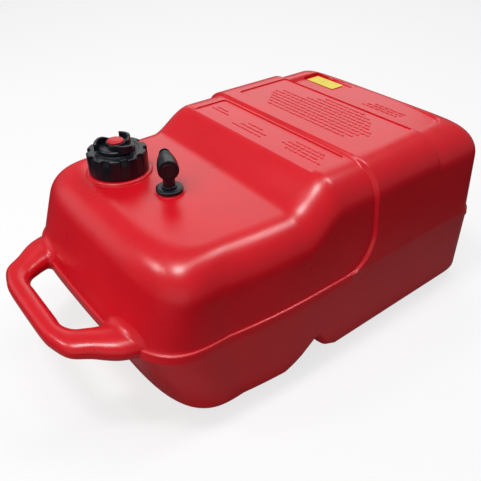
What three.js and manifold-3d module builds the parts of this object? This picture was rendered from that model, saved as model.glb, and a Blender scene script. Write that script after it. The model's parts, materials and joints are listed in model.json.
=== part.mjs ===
// Portable fuel tank for a small boat: a blow-moulded tank with a carrying handle, a vented
// filler cap and a swivelling fuel pick-up.
// Millimetres, +Z up, +X from the handle towards the tall rear block, origin under the middle.
import * as THREE from "three";
import { mergeVertices } from "three/addons/utils/BufferGeometryUtils.js";
import Module from "manifold-3d";

const wasm = await Module();
wasm.setup();

// Clearances shared by all pieces
const seatGap = 0.3; // left between two pieces that rest on each other
const fitGap = 0.3; // left round a plug, tube or ring in its bore
const overrun = 2; // how far a cutting solid runs past the face that it cuts

// Overall size of the moulded tank
const bodyLength = 511.3;
const bodyWidth = 336.8;
const handleReach = 54.9;
const wall = 3;
const deckHeight = 193.5;
const plateauRise = 28.9; // from the deck up to the plateau
const blockRise = 3.6;
const terraceDrop = 9.6;

// Seam ledge that runs round the tank, and the wall below it
const seamHeight = 109.7;
const ledgeWidth = 4;
const rearLedgeWidth = 5;
const bandHeight = 6;
const bandStep = 0.8;
const lipDrop = 3.2;

// Walls: how far the foot of each is drawn in, how the upper part leans, and the roundings
const sideFoot = 0.8;
const sideFootFront = 7.3;
const frontFoot = 38.3;
const rearFoot = 3;
const sideLean = 6.1;
const frontLean = 21.8;
const rearLean = 3.8;
const footRound = 17.9;
const crestRound = 41.8;
const frontCrestRound = 45.7;
const rearCrestRound = 26.2;

// Plan corners, as quarters of a superellipse: their reach at the seam, the deck and the foot
const frontSeamReach = 89.3;
const frontDeckReach = 55.9;
const frontFootReach = 72.5;
const rearSeamReach = 52.8;
const rearDeckReach = 30.2;
const rearFootReach = 44.7;
const frontPower = 3.45;
const frontDeckPower = 4.15;
const rearPower = 3.5;

// Taper of the sides towards the handle
const taperReach = 201;
const taperDepth = 27.5;

// Places along the tank: those up to the ridge from the front wall, the terrace from the rear wall
const rampStart = 191.3;
const rampEnd = 246.3;
const ridgePlace = 294.5;
const ridgeWidth = 4;
const ridgeSweep = 39.5;
const ridgeBend = 45.3;
const terraceLength = 107.3;
const terraceStep = 6;

// Strap channel across the underside
const channelStart = 167;
const channelLength = 79.3;
const channelDepth = 29;
const channelShares = [
  [0, 0], [0.15, 0.2], [0.28, 0.43], [0.38, 0.67], [0.51, 0.965],
  [0.6, 1], [0.66, 0.86], [0.73, 0.5], [0.82, 0.22], [1, 0],
];

// Carrying handle, half of it: edge points from inside the front wall to the middle of the grip
const handleThickness = 20;
const handleRootThickness = 27;
const handleRootSink = 0.6; // share of the extra thickness of a root that goes downwards
const handleDrop = 2; // from the seam down to the middle of the grip
const handleWall = 3;
const handleInnerShares = [
  [-0.6, 0.415], [0, 0.397], [0.291, 0.361], [0.474, 0.321], [0.583, 0.25], [0.583, 0.161], [0.583, 0],
];
const handleOuterShares = [
  [-0.8, 0.76], [0, 0.694], [0.485, 0.569], [0.798, 0.4875], [0.944, 0.357], [0.992, 0.25], [1, 0],
];
const handleRootShares = [1, 0.7, 0.25, 0, 0, 0, 0];
const handlePower = 2.7;

// Filler neck, its shoulder on the deck and its thread
const fillerPlace = 104.6;
const fillerSide = 68.5;
const shoulderRadius = 38.5;
const shoulderHeight = 3;
const neckRadius = 26.4;
const neckWall = 3.4;
const neckHeight = 21.2;
const threadPitch = 6;
const threadDepth = 2.4;
const threadRoot = 2.6;
const threadCrest = 1.4;
const neckThreadTurns = 1.35;
const neckThreadDrop = 2.6; // from the rim of the neck down to the top of its thread

// Filler cap
const capRadius = 34.4;
const capPlate = 3.6; // above the gasket
const capGap = 0.8; // between the skirt and the shoulder of the neck
const capRim = 5.5; // height of the castellated rim
const capBevel = 1.6;
const lugCount = 10;
const lugShare = 0.5;
const lugDepth = 3.2;
const capThreadTurns = 1.1;
const threadGap = 0.6;
const threadTipShare = 0.1;
const threadFadeSteps = 4;
const gasketThickness = 2.4;
const gasketWidth = 8;

// Vent screw in the middle of the cap
const ventShaft = 4;
const ventPitch = 3;
const ventThreadDepth = 1.2;
const ventThreadRoot = 1.2;
const ventThreadCrest = 0.7;
const ventThreadTurns = 1.6;
const ventThreadGap = 0.5;
const ventLift = 1.5;
const bossWall = 1.6;
const bossDepth = 9;
const sealSection = 1.2;
const sealMargin = 1.2;
const ventGroove = 0.8;
const clipThickness = 1;
const clipLap = 1.7; // how far the clip of the vent reaches past its bore
const shaftTail = 1.6;

// Vent knob: a round base, a hub with a red badge, and three curved wings
const knobRadius = 21.5;
const knobBase = 5;
const hubHeight = 9;
const wingCount = 3;
const wingHeight = 13.5;
const wingOverhang = 3;
const wingThickness = 3.4;
const wingTipShare = 0.6;
const wingCurl = 1.5;
const wingSlopeShares = [0.72, 0.94];
const wingSweep = 85;
const wingTurn = 28;
const badgeRadius = 8.6;
const badgeWall = 2.1;
const badgeThickness = 1.6;
const badgeDome = 1.8;
const socketDepth = 4.4;

// Pick-up boss on the deck and the bush that is screwed into it
const pickupPlace = 124.8;
const pickupSide = -8.6;
const pickupBossMargin = 1.8;
const pickupBossHeight = 1.2;
const pickupCollarWall = 3.6;
const pickupCollarDepth = 15;
const pickupGasketThickness = 1.2;
const bushFlangeLap = 3.1;
const bushFlange = 3;
const bushRadius = 10.5;
const bushThreadPitch = 3;
const bushThreadDepth = 1.1;
const bushThreadRoot = 1.3;
const bushThreadCrest = 0.7;
const bushThreadTurns = 2.2;
const bushThreadGap = 0.5;
const bushWall = 1.9;

// Swivel elbow: stem, collar and barrel
const stemRadius = 6.75;
const stemBore = 3.2;
const stemTail = 3.4;
const stemGroove = 1.4;
const collarWidth = 1.85;
const collarHeight = 1.5;
const barrelHeight = 23;
const barrelAngle = 64;
const barrelRadius = 11.6;
const barrelBack = 8;
const barrelStraight = 15;
const barrelTaper = 16;
const barrelEndRadius = 8.6;
const barrelBevel = 1.4;
const chamberWall = 4.6;
const chamberLength = 17.5;
const seatLap = 2.2;
const seatThickness = 2.4;
const socketWall = 2.7;
const oRingSection = 0.7;
const oRingGroove = 2.1;
const oRingDepth = 1.6;

// End cap of the barrel, check valve and hose nipple
const endCapLip = 2;
const endCapFlange = 3;
const endCapPlug = 4;
const endRingInset = 3;
const endRingWidth = 1.6;
const endRingRise = 0.8;
const guideRadius = 2.6;
const guideDepth = 5.2;
const poppetGap = 1.2;
const poppetThickness = 2.6;
const springWire = 1;
const springGap = 1;
const springTurns = 4;
const springSteps = 10;
const wireSides = 6;
const nippleStep = 0.7;
const nippleFlange = 2.4;
const nippleCone = 5;
const nippleTubeRadius = 4.5;
const nippleTube = 5.5;
const nippleWall = 1.8;
const nippleRim = 0.9;
const nippleRimLength = 2.2;
const nippleSpigot = 7;

// Dip tube below the bush
const adapterPlug = 7;
const adapterFlange = 2;
const adapterBore = 2.2;
const barbWall = 1;
const barbLength = 13;
const barbRise = 0.35;
const barbCount = 3;
const barbShare = 0.7;
const dipTubeWall = 1.4;
const dipTubeMouth = 5; // from the floor of the strainer up to the end of the tube
const clampWidth = 6;
const clampThickness = 1.1;
const strainerStep = 1.2;
const strainerWall = 1.2;
const strainerLength = 24;
const strainerGrip = 8;
const strainerFloorGap = 5;
const strainerSlots = 8;
const slotWidth = 2.4;

// Information plate on the rear terrace
const plateLength = 52;
const plateWidth = 23;
const plateThickness = 0.7;
const plateInset = 58.3; // from the rear wall
const plateSide = 82;
const plateRound = 1.5;
const pocketDepth = 1;

// Steps of the round shapes
const footSteps = 3;
const crestSteps = 6;
const innerSteps = 2;
const cornerSteps = 8;
const wallSteps = 3;
const handleSteps = 8;
const badgeSteps = 4;
const plateSteps = 3;
const wingSteps = 6;
const handleSides = 14;
const roundSides = 28;
const smallSides = 16;
const threadSteps = 18;
const sectionSides = 6;

// Looks
const redPlastic = new THREE.MeshStandardMaterial({ color: "#b3121f", roughness: 0.38, metalness: 0 });
const blackPlastic = new THREE.MeshStandardMaterial({ color: "#15171b", roughness: 0.42, metalness: 0 });
const blackRubber = new THREE.MeshStandardMaterial({ color: "#1b1b1c", roughness: 0.8, metalness: 0 });
const badgePlastic = new THREE.MeshStandardMaterial({ color: "#c8202c", roughness: 0.45, metalness: 0 });
const springSteel = new THREE.MeshStandardMaterial({ color: "#b9bcc0", roughness: 0.3, metalness: 1 });
const paleTube = new THREE.MeshStandardMaterial({ color: "#d9d6cc", roughness: 0.5, metalness: 0 });
const yellowPlate = new THREE.MeshStandardMaterial({ color: "#d8c93a", roughness: 0.5, metalness: 0 });

// Derived heights and places along the tank
const plateauHeight = deckHeight + plateauRise;
const terracePlace = bodyLength - terraceLength;
const platePlace = bodyLength - plateInset;
const frontX = handleReach - (bodyLength + handleReach) / 2;
const rearX = frontX + bodyLength;
const halfWidth = bodyWidth / 2;
const blockHeight = plateauHeight + blockRise;
const terraceHeight = blockHeight - terraceDrop;
const bandBottom = seamHeight - bandHeight;
const fillerX = frontX + fillerPlace;
const pickupX = frontX + pickupPlace;
const atFiller = new THREE.Matrix4().makeTranslation(fillerX, fillerSide, 0);
const atPickup = new THREE.Matrix4().makeTranslation(pickupX, pickupSide, 0);
const alongX = new THREE.Matrix4().makeRotationY(Math.PI / 2);

// Derived sizes of the neck, the cap and the vent
const neckTop = deckHeight + neckHeight;
const neckBore = neckRadius - neckWall;
const neckThreadBottom = neckTop - neckThreadDrop - threadRoot - neckThreadTurns * threadPitch;
const capInner = neckRadius + threadDepth + threadGap;
const capBottom = deckHeight + shoulderHeight + capGap;
const gasketBottom = neckTop + seatGap;
const plateBottom = gasketBottom + gasketThickness + seatGap;
const capTop = plateBottom + capPlate;
const ventBore = ventShaft + ventThreadDepth + ventThreadGap;
const sealRadius = ventBore + sealSection + fitGap;
const sealSeatRadius = sealRadius + sealSection + sealMargin;
const bossRadius = sealSeatRadius + bossWall;
const sealSeat = capTop - 2 * sealSection - seatGap;
const knobBottom = capTop + seatGap;
const bossBottom = plateBottom - bossDepth;
const clipTop = bossBottom - ventLift - seatGap;
const hubRadius = badgeRadius + fitGap + badgeWall;
const wingEnd = knobRadius + wingOverhang;
const socketWidth = Math.SQRT2 * ventShaft;

// Derived sizes of the pick-up bush, the swivel and the barrel
const pickupHole = bushRadius + bushThreadDepth + bushThreadGap;
const bushFlangeRadius = pickupHole + bushFlangeLap;
const bushCounterbore = bushRadius - bushWall;
const bushBottomFace = deckHeight + pickupBossHeight + pickupGasketThickness + 2 * seatGap;
const bushTop = bushBottomFace + bushFlange;
const bushEnd = deckHeight - pickupCollarDepth;
const adapterTop = bushEnd + adapterPlug;
const stemEnd = adapterTop + 2 * seatGap;
const counterboreTop = stemEnd + stemTail;
const stemRingLevel = (bushTop + counterboreTop) / 2;
const collarRadius = stemRadius + collarWidth;
const barrelAxis = bushTop + barrelHeight;
const chamberRadius = barrelRadius - chamberWall;
const endCapRadius = barrelRadius - endCapLip;
const endRingRadius = endCapRadius - endRingInset;
const poppetRadius = chamberRadius - poppetGap;
const seatRadius = poppetRadius - seatLap;
const poppetStem = guideRadius - fitGap;
const springRadius = guideRadius + springGap + springWire / 2;
const socketRadius = barrelEndRadius - socketWall;
const chamberEnd = chamberLength - barrelBack + endCapFlange;
const plugEnd = endCapFlange + endCapPlug - barrelBack;
const barrelEnd = barrelStraight + barrelTaper - barrelBack;
const nippleFace = barrelEnd + seatGap;
const nippleGroove = nippleFace - nippleSpigot / 2;
const nippleFlangeRadius = barrelEndRadius - nippleStep;
const nippleConeRadius = nippleFlangeRadius - nippleStep;
const nippleBore = nippleTubeRadius - nippleWall;

// Derived sizes of the dip tube and the strainer
const barbRadius = adapterBore + barbWall;
const tubeTop = bushEnd - seatGap - adapterFlange - seatGap;
const tubeBore = barbRadius + barbRise + fitGap;
const tubeRadius = tubeBore + dipTubeWall;
const strainerBottom = wall + strainerFloorGap;
const strainerGripRadius = tubeRadius + fitGap;
const strainerRadius = strainerGripRadius + strainerWall + strainerStep;
const tubeEnd = strainerBottom + strainerWall + dipTubeMouth;

// A closed three.js geometry, moved by a matrix, as a solid that can be joined and cut
function solid(geometry, matrix = new THREE.Matrix4()) {
  const bare = geometry.index ? geometry.toNonIndexed() : geometry.clone();
  bare.applyMatrix4(matrix);
  bare.deleteAttribute("normal");
  bare.deleteAttribute("uv");
  const merged = mergeVertices(bare);
  const corners = merged.index.array;
  const kept = [];
  for (let i = 0; i < corners.length; i += 3) {
    const [a, b, c] = [corners[i], corners[i + 1], corners[i + 2]];
    if (a !== b && b !== c && c !== a) kept.push(a, b, c);
  }
  const mesh = new wasm.Mesh({
    numProp: 3,
    vertProperties: merged.attributes.position.array,
    triVerts: new Uint32Array(kept),
  });
  return new wasm.Manifold(mesh);
}

// The surface of a solid as a three.js geometry
function surface(manifold) {
  const mesh = manifold.getMesh();
  const geometry = new THREE.BufferGeometry();
  geometry.setAttribute("position", new THREE.BufferAttribute(new Float32Array(mesh.vertProperties), 3));
  geometry.setIndex(new THREE.BufferAttribute(new Uint32Array(mesh.triVerts), 1));
  return geometry;
}

// Solid of revolution about Z from [radius, height] points that run anticlockwise
function turned(points, sides, matrix) {
  const profile = points.map(([radius, height]) => new THREE.Vector2(radius, height));
  profile.push(profile[0].clone());
  return solid(new THREE.LatheGeometry(profile, sides).rotateX(Math.PI / 2), matrix);
}

// Plain disc or post about Z between two heights
function post(radius, bottom, top, sides, matrix) {
  return turned([[0, bottom], [radius, bottom], [radius, top], [0, top]], sides, matrix);
}

// Ring of rectangular section about Z
function ring(inner, outer, bottom, top, sides) {
  return turned([[inner, bottom], [outer, bottom], [outer, top], [inner, top]], sides);
}

// Ring of round section about Z
function roundRing(radius, section, height, sides, matrix) {
  const points = [];
  for (let i = 0; i < sectionSides; i++) {
    const angle = (2 * Math.PI * i) / sectionSides;
    points.push([radius + section * Math.cos(angle), height + section * Math.sin(angle)]);
  }
  return turned(points, sides, matrix);
}

// Upright prism over a plan outline
function prism(outline, bottom, top, matrix) {
  const shape = new THREE.Shape(outline.map(([x, y]) => new THREE.Vector2(x, y)));
  const geometry = new THREE.ExtrudeGeometry(shape, { depth: top - bottom, bevelEnabled: false });
  return solid(geometry.translate(0, 0, bottom), matrix);
}

// Rectangle outline with its middle at a place
function rectangle(length, width, x, y) {
  const signs = [[-1, -1], [1, -1], [1, 1], [-1, 1]];
  return signs.map(([u, v]) => [x + (u * length) / 2, y + (v * width) / 2]);
}

// Closed skin over rings of the same number of points, with a fan over each end
function loft(rings, matrix) {
  const count = rings[0].length;
  const last = rings.length - 1;
  const points = rings.flat();
  const faces = [];
  for (let i = 0; i < last; i++) {
    for (let j = 0; j < count; j++) {
      const k = (j + 1) % count;
      const [a, b, c, d] = [i * count + j, i * count + k, (i + 1) * count + j, (i + 1) * count + k];
      faces.push(a, b, d, a, d, c);
    }
  }
  for (let j = 1; j < count - 1; j++) {
    faces.push(0, j + 1, j);
    faces.push(last * count, last * count + j, last * count + j + 1);
  }
  const geometry = new THREE.BufferGeometry().setFromPoints(points);
  geometry.setIndex(faces);
  return solid(geometry, matrix);
}

// Helical ridge of a screw thread, outward from its root radius or inward where the depth is negative
function threadRidge({ radius, depth, root, crest, pitch, turns, bottom, matrix }) {
  const steps = Math.round(turns * threadSteps);
  const rings = [];
  const buried = Math.sign(depth) * fitGap;
  for (let i = 0; i <= steps; i++) {
    const share = i / steps;
    const angle = 2 * Math.PI * turns * share;
    const fade = Math.min(1, i / threadFadeSteps, (steps - i) / threadFadeSteps);
    const rise = depth * THREE.MathUtils.lerp(threadTipShare, 1, fade);
    const middle = bottom + root / 2 + pitch * turns * share;
    const section = [
      [radius - buried, -root / 2],
      [radius + rise, -crest / 2],
      [radius + rise, crest / 2],
      [radius - buried, root / 2],
    ];
    const points = section.map(([r, z]) => new THREE.Vector3(r * Math.cos(angle), r * Math.sin(angle), middle + z));
    rings.push(depth > 0 ? points : points.reverse());
  }
  return loft(rings.reverse(), matrix);
}

// Half width of the tank at the seam
function halfWidthAt(x) {
  const share = Math.max(0, (frontX + taperReach - x) / taperReach);
  return halfWidth - taperDepth * share * share;
}

// Height of the top of the tank
function topAt(x) {
  const place = x - frontX;
  const ramp = THREE.MathUtils.smoothstep(place, rampStart, rampEnd);
  const block = place > ridgePlace ? blockRise : 0;
  const terrace = THREE.MathUtils.clamp((place - terracePlace) / terraceStep + 1 / 2, 0, 1);
  return deckHeight + plateauRise * ramp + block - terraceDrop * terrace;
}

// Height of the underside, raised over the strap channel
function floorAt(x) {
  const share = (x - frontX - channelStart) / channelLength;
  for (let i = 1; i < channelShares.length; i++) {
    const [a, b] = [channelShares[i - 1], channelShares[i]];
    if (share >= a[0] && share <= b[0]) {
      return channelDepth * THREE.MathUtils.mapLinear(share, a[0], b[0], a[1], b[1]);
    }
  }
  return 0;
}

// How far the ridge of the rear block is swept forward at a height
function ridgeSweepAt(z) {
  const share = THREE.MathUtils.clamp((seamHeight + ridgeBend - z) / ridgeBend, 0, 1);
  return ridgeSweep * (1 - Math.sqrt(1 - share * share));
}

// Wall profile from the underside to the deck as [inset, height], moved inwards by the skin
function wallProfile({ foot, lean, ledge, round, floor, top, skin }) {
  const slope = (foot - bandStep) / bandBottom;
  const bank = Math.atan(slope);
  const tilt = THREE.MathUtils.degToRad(lean);
  const inner = skin > 0;
  const low = footRound - skin;
  const high = round - skin;
  const base = floor + skin;
  const lid = top - skin;
  const lowInset = (z) => bandStep + (bandBottom - z) * slope + skin / Math.cos(bank);
  const highInset = (z) => ledge + (z - seamHeight) * Math.tan(tilt) + skin / Math.cos(tilt);
  const points = [];
  const lowTurn = Math.PI / 2 - bank;
  const lowCentre = lowInset(base) + low * Math.tan(lowTurn / 2);
  const lowSteps = inner ? innerSteps : footSteps;
  for (let i = 0; i <= lowSteps; i++) {
    const angle = (lowTurn * i) / lowSteps;
    points.push([lowCentre - low * Math.sin(angle), base + low * (1 - Math.cos(angle))]);
  }
  const lipTop = seamHeight - skin;
  points.push([lowInset(bandBottom), bandBottom - bandStep]);
  if (!inner) {
    points.push([0, bandBottom]);
    points.push([0, seamHeight - lipDrop]);
    points.push([ledge / 3, seamHeight - lipDrop / 4]);
  }
  points.push([ledge + skin, lipTop]);
  const highTurn = Math.PI / 2 - tilt;
  const highCentre = highInset(lid) + high * Math.tan(highTurn / 2);
  const crestStart = lid - high * (1 - Math.sin(tilt));
  for (let i = 1; i < wallSteps && !inner; i++) {
    const level = THREE.MathUtils.lerp(seamHeight, crestStart, i / wallSteps);
    points.push([highInset(level), level]);
  }
  const highSteps = inner ? innerSteps + 2 : crestSteps;
  for (let i = 0; i <= highSteps; i++) {
    const angle = tilt + (highTurn * i) / highSteps;
    points.push([highCentre - high * Math.cos(angle), lid - high * (1 - Math.sin(angle))]);
  }
  return points;
}

// How far the foot of the side wall is drawn in
function sideFootAt(x) {
  const share = THREE.MathUtils.clamp((x - frontX) / (channelStart + channelLength), 0, 1);
  return THREE.MathUtils.lerp(sideFootFront, sideFoot, share);
}

// Side profile at a place, with its ledge
function sideProfile(x, ledge, skin) {
  return wallProfile({
    foot: sideFootAt(x),
    lean: sideLean,
    ledge,
    round: crestRound,
    floor: floorAt(x),
    top: topAt(x),
    skin,
  });
}

// A value of a plan corner at a height, between those at the foot, the seam and the deck
function atLevel(z, top, foot, seam, deck) {
  if (z > seamHeight) return THREE.MathUtils.mapLinear(Math.min(z, top), seamHeight, top, seam, deck);
  return THREE.MathUtils.mapLinear(z, 0, seamHeight, foot, seam);
}

// Upright columns of points round the near half of the tank, from the front to the rear
function bodyColumns(skin) {
  const columns = [];
  const front = wallProfile({
    foot: frontFoot, lean: frontLean, ledge: ledgeWidth, round: frontCrestRound, floor: 0, top: deckHeight, skin,
  });
  const rear = wallProfile({
    foot: rearFoot, lean: rearLean, ledge: rearLedgeWidth, round: rearCrestRound, floor: 0, top: terraceHeight, skin,
  });
  for (let i = 0; i <= cornerSteps; i++) {
    const angle = (Math.PI * i) / (2 * cornerSteps);
    const blend = Math.sin(angle) ** 2;
    const side = sideProfile(frontX + frontSeamReach, ledgeWidth, skin);
    columns.push(front.map(([inset, z], level) => {
      const reach = atLevel(z, deckHeight, frontFootReach, frontSeamReach, frontDeckReach);
      const bulge = 2 / atLevel(z, deckHeight, frontPower, frontPower, frontDeckPower);
      const middle = frontX + inset + reach;
      const half = halfWidthAt(middle) - side[level][0];
      return new THREE.Vector3(
        middle - reach * Math.max(0, Math.cos(angle)) ** bulge,
        -half * Math.sin(angle) ** bulge,
        THREE.MathUtils.lerp(z, side[level][1], blend),
      );
    }));
  }
  for (const [x, ledge, swept] of sideStations()) {
    columns.push(sideProfile(x, ledge, skin).map(([inset, z]) => {
      const shift = swept ? ridgeSweepAt(z) : 0;
      return new THREE.Vector3(x - shift, inset - halfWidthAt(x - shift), z);
    }));
  }
  for (let i = 0; i <= cornerSteps; i++) {
    const angle = (Math.PI * i) / (2 * cornerSteps);
    const blend = Math.sin(angle) ** 2;
    const side = sideProfile(rearX - rearSeamReach, rearLedgeWidth * blend, skin);
    columns.push(rear.map(([inset, z], level) => {
      const reach = atLevel(z, terraceHeight, rearFootReach, rearSeamReach, rearDeckReach);
      const bulge = 2 / rearPower;
      const half = halfWidth - side[level][0];
      return new THREE.Vector3(
        rearX - inset - reach * (1 - Math.sin(angle) ** bulge),
        -half * Math.max(0, Math.cos(angle)) ** bulge,
        THREE.MathUtils.lerp(side[level][1], z, blend),
      );
    }));
  }
  return columns;
}

// Places of the side columns as [x, ledge width, swept with the ridge]
function sideStations() {
  const channel = channelShares.map(([share]) => frontX + channelStart + share * channelLength);
  const stations = channel.map((x) => [x, ledgeWidth, false]);
  stations.push([frontX + rampEnd, ledgeWidth, false]);
  stations.push([frontX + ridgePlace - ridgeWidth / 2, ledgeWidth, true]);
  stations.push([frontX + ridgePlace + ridgeWidth / 2, 0, true]);
  stations.push([frontX + (ridgePlace + terracePlace) / 2, 0, false]);
  stations.push([frontX + terracePlace - terraceStep / 2, 0, false]);
  stations.push([frontX + terracePlace + terraceStep / 2, 0, false]);
  return stations;
}

// Closed skin of the tank body: the near columns, their mirror, the underside and the deck
function bodySkin(skin) {
  const columns = bodyColumns(skin);
  const mirrored = columns.slice(1, -1).reverse();
  const far = mirrored.map((column) => column.map((p) => new THREE.Vector3(p.x, -p.y, p.z)));
  const loop = [...columns, ...far];
  const levels = columns[0].length;
  const total = loop.length;
  const points = loop.flat();
  const faces = [];
  const at = (column, level) => (column % total) * levels + level;
  for (let i = 0; i < total; i++) {
    for (let j = 0; j < levels - 1; j++) {
      faces.push(at(i, j), at(i + 1, j), at(i + 1, j + 1));
      faces.push(at(i, j), at(i + 1, j + 1), at(i, j + 1));
    }
  }
  for (const level of [0, levels - 1]) {
    for (let i = 0; i < columns.length - 1; i++) {
      const [a, b] = [at(i, level), at(i + 1, level)];
      const [c, d] = [at(total - i, level), at(total - i - 1, level)];
      const up = level > 0;
      faces.push(...(up ? [a, b, d] : [a, d, b]));
      faces.push(...(up ? [a, d, c] : [a, c, d]));
    }
  }
  const geometry = new THREE.BufferGeometry().setFromPoints(points);
  geometry.setIndex(faces);
  return solid(geometry);
}

// Smooth row of points through the edge points of half the handle, as places in plan
function handleEdge(shares) {
  const points = shares.map(([x, y]) => new THREE.Vector2(frontX - x * handleReach, y * halfWidth));
  return new THREE.SplineCurve(points).getPoints(handleSteps);
}

// Handle loop from one side of the front wall to the other, drawn in by a skin
function handleSkin(skin) {
  const inner = handleEdge(handleInnerShares);
  const outer = handleEdge(handleOuterShares);
  const rootCurve = new THREE.SplineCurve(handleRootShares.map((share, i) => new THREE.Vector2(i, share)));
  const roots = rootCurve.getPoints(handleSteps).map((point) => Math.max(0, point.y));
  const stations = inner.map((point, i) => ({ a: point, b: outer[i], root: roots[i] }));
  for (let i = handleSteps - 1; i >= 0; i--) {
    const a = new THREE.Vector2(inner[i].x, -inner[i].y);
    const b = new THREE.Vector2(outer[i].x, -outer[i].y);
    stations.push({ a, b, root: roots[i] });
  }
  const rings = stations.map(({ a, b, root }) => {
    const middle = a.clone().add(b).divideScalar(2);
    const across = b.clone().sub(a);
    const reach = across.length() / 2 - skin;
    across.normalize();
    const extra = root * (handleRootThickness - handleThickness);
    const height = (handleThickness + extra) / 2 - skin;
    const level = seamHeight - handleDrop - (handleRootSink * extra) / 2;
    const points = [];
    for (let i = 0; i < handleSides; i++) {
      const angle = (2 * Math.PI * i) / handleSides;
      const [c, s] = [Math.cos(angle), Math.sin(angle)];
      const u = Math.sign(c) * Math.abs(c) ** (2 / handlePower) * reach;
      const v = Math.sign(s) * Math.abs(s) ** (2 / handlePower) * height;
      points.push(new THREE.Vector3(middle.x + across.x * u, middle.y + across.y * u, level + v));
    }
    return points;
  });
  return loft(rings.reverse());
}

// Moulded tank: hollow body and handle, filler neck, pick-up boss and the pocket of the plate
function tankShell() {
  const outside = bodySkin(0).add(handleSkin(0));
  const inside = bodySkin(wall).add(handleSkin(handleWall));
  const root = deckHeight - wall / 2;
  const neckThread = threadRidge({
    radius: neckRadius, depth: threadDepth, root: threadRoot, crest: threadCrest,
    pitch: threadPitch, turns: neckThreadTurns, bottom: neckThreadBottom, matrix: atFiller,
  });
  const neck = turned([
    [0, root], [shoulderRadius, root], [shoulderRadius, deckHeight + shoulderHeight / 2],
    [shoulderRadius - shoulderHeight / 2, deckHeight + shoulderHeight],
    [neckRadius, deckHeight + shoulderHeight], [neckRadius, neckTop], [0, neckTop],
  ], roundSides, atFiller);
  const neckHole = post(neckBore, deckHeight - wall - overrun, neckTop + overrun, roundSides, atFiller);
  const collar = pickupHole + pickupCollarWall;
  const bossRadiusOut = bushFlangeRadius + pickupBossMargin;
  const boss = turned([
    [0, bushEnd], [collar, bushEnd], [collar, root], [bossRadiusOut, root],
    [bossRadiusOut, deckHeight + pickupBossHeight], [0, deckHeight + pickupBossHeight],
  ], roundSides, atPickup);
  const bossTop = deckHeight + pickupBossHeight;
  const bossHole = post(pickupHole, bushEnd - overrun, bossTop + overrun, roundSides, atPickup)
    .subtract(bushThread(-1, atPickup));
  const pocket = prism(
    rectangle(plateWidth + 2 * fitGap, plateLength + 2 * fitGap, frontX + platePlace, plateSide),
    terraceHeight - pocketDepth, terraceHeight + overrun,
  );
  return outside
    .subtract(inside)
    .add(neck)
    .add(neckThread)
    .subtract(neckHole)
    .add(boss)
    .subtract(bossHole)
    .subtract(pocket);
}

// Thread of the bush (1) or of the boss that it screws into (-1)
function bushThread(way, matrix) {
  const bottom = bushEnd + bushThreadRoot;
  const shift = (bushThreadRoot + bushThreadCrest) / 2 + seatGap;
  return threadRidge({
    radius: way > 0 ? bushRadius : pickupHole,
    depth: way * bushThreadDepth,
    root: bushThreadRoot,
    crest: bushThreadCrest,
    pitch: bushThreadPitch,
    turns: bushThreadTurns,
    bottom: way > 0 ? bottom : bottom + shift,
    matrix,
  });
}

// Outline of the castellated rim of the cap
function lugOutline() {
  const outline = [];
  const step = (2 * Math.PI) / lugCount;
  const flank = lugDepth / capRadius / 2;
  for (let i = 0; i < lugCount; i++) {
    const start = i * step;
    const end = start + lugShare * step;
    const valley = capRadius - lugDepth;
    const places = [
      [start, capRadius], [(start + end) / 2, capRadius], [end, capRadius],
      [end + flank, valley], [(end + start + step) / 2, valley], [start + step - flank, valley],
    ];
    for (const [angle, radius] of places) outline.push([radius * Math.cos(angle), radius * Math.sin(angle)]);
  }
  return outline;
}

// Filler cap: skirt, castellated rim, inner thread and the boss of the vent screw
function fillerCap() {
  const baseTop = capTop - capRim;
  const base = turned([
    [0, capBottom], [capRadius, capBottom], [capRadius, baseTop - capBevel], [capRadius - capBevel, baseTop],
    [0, baseTop],
  ], roundSides);
  const bevel = turned([
    [0, baseTop - capBevel], [capRadius + capBevel, baseTop - capBevel], [capRadius + capBevel, capTop - 2 * capBevel],
    [capRadius - capBevel, capTop], [0, capTop],
  ], roundSides);
  const rim = prism(lugOutline(), baseTop - capBevel, capTop).intersect(bevel);
  const hollow = ring(bossRadius, capInner, capBottom - overrun, plateBottom, roundSides);
  const under = post(bossRadius + fitGap, capBottom - overrun, bossBottom, roundSides);
  const thread = threadRidge({
    radius: capInner, depth: -threadDepth, root: threadRoot, crest: threadCrest, pitch: threadPitch,
    turns: capThreadTurns, bottom: neckThreadBottom - (threadRoot + threadCrest) / 2 - seatGap,
  });
  const bore = post(ventBore, bossBottom - overrun, capTop + overrun, smallSides);
  const seat = post(sealSeatRadius, sealSeat, capTop + overrun, roundSides);
  return base
    .add(rim)
    .subtract(hollow)
    .subtract(under)
    .add(thread)
    .subtract(bore)
    .subtract(seat)
    .add(ventThread(-1));
}

// Thread of the vent screw (1) or of the boss in the cap (-1)
function ventThread(way) {
  const bottom = bossBottom + ventThreadRoot;
  const drop = (ventThreadRoot + ventThreadCrest) / 2 + seatGap;
  return threadRidge({
    radius: way > 0 ? ventShaft : ventBore,
    depth: way * ventThreadDepth,
    root: ventThreadRoot,
    crest: ventThreadCrest,
    pitch: ventPitch,
    turns: ventThreadTurns,
    bottom: way > 0 ? bottom - drop : bottom,
  });
}

// Flat ring between the rim of the neck and the plate of the cap
function fillerGasket() {
  const outer = capInner - fitGap;
  return ring(outer - gasketWidth, outer, gasketBottom, gasketBottom + gasketThickness, roundSides);
}

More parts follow.
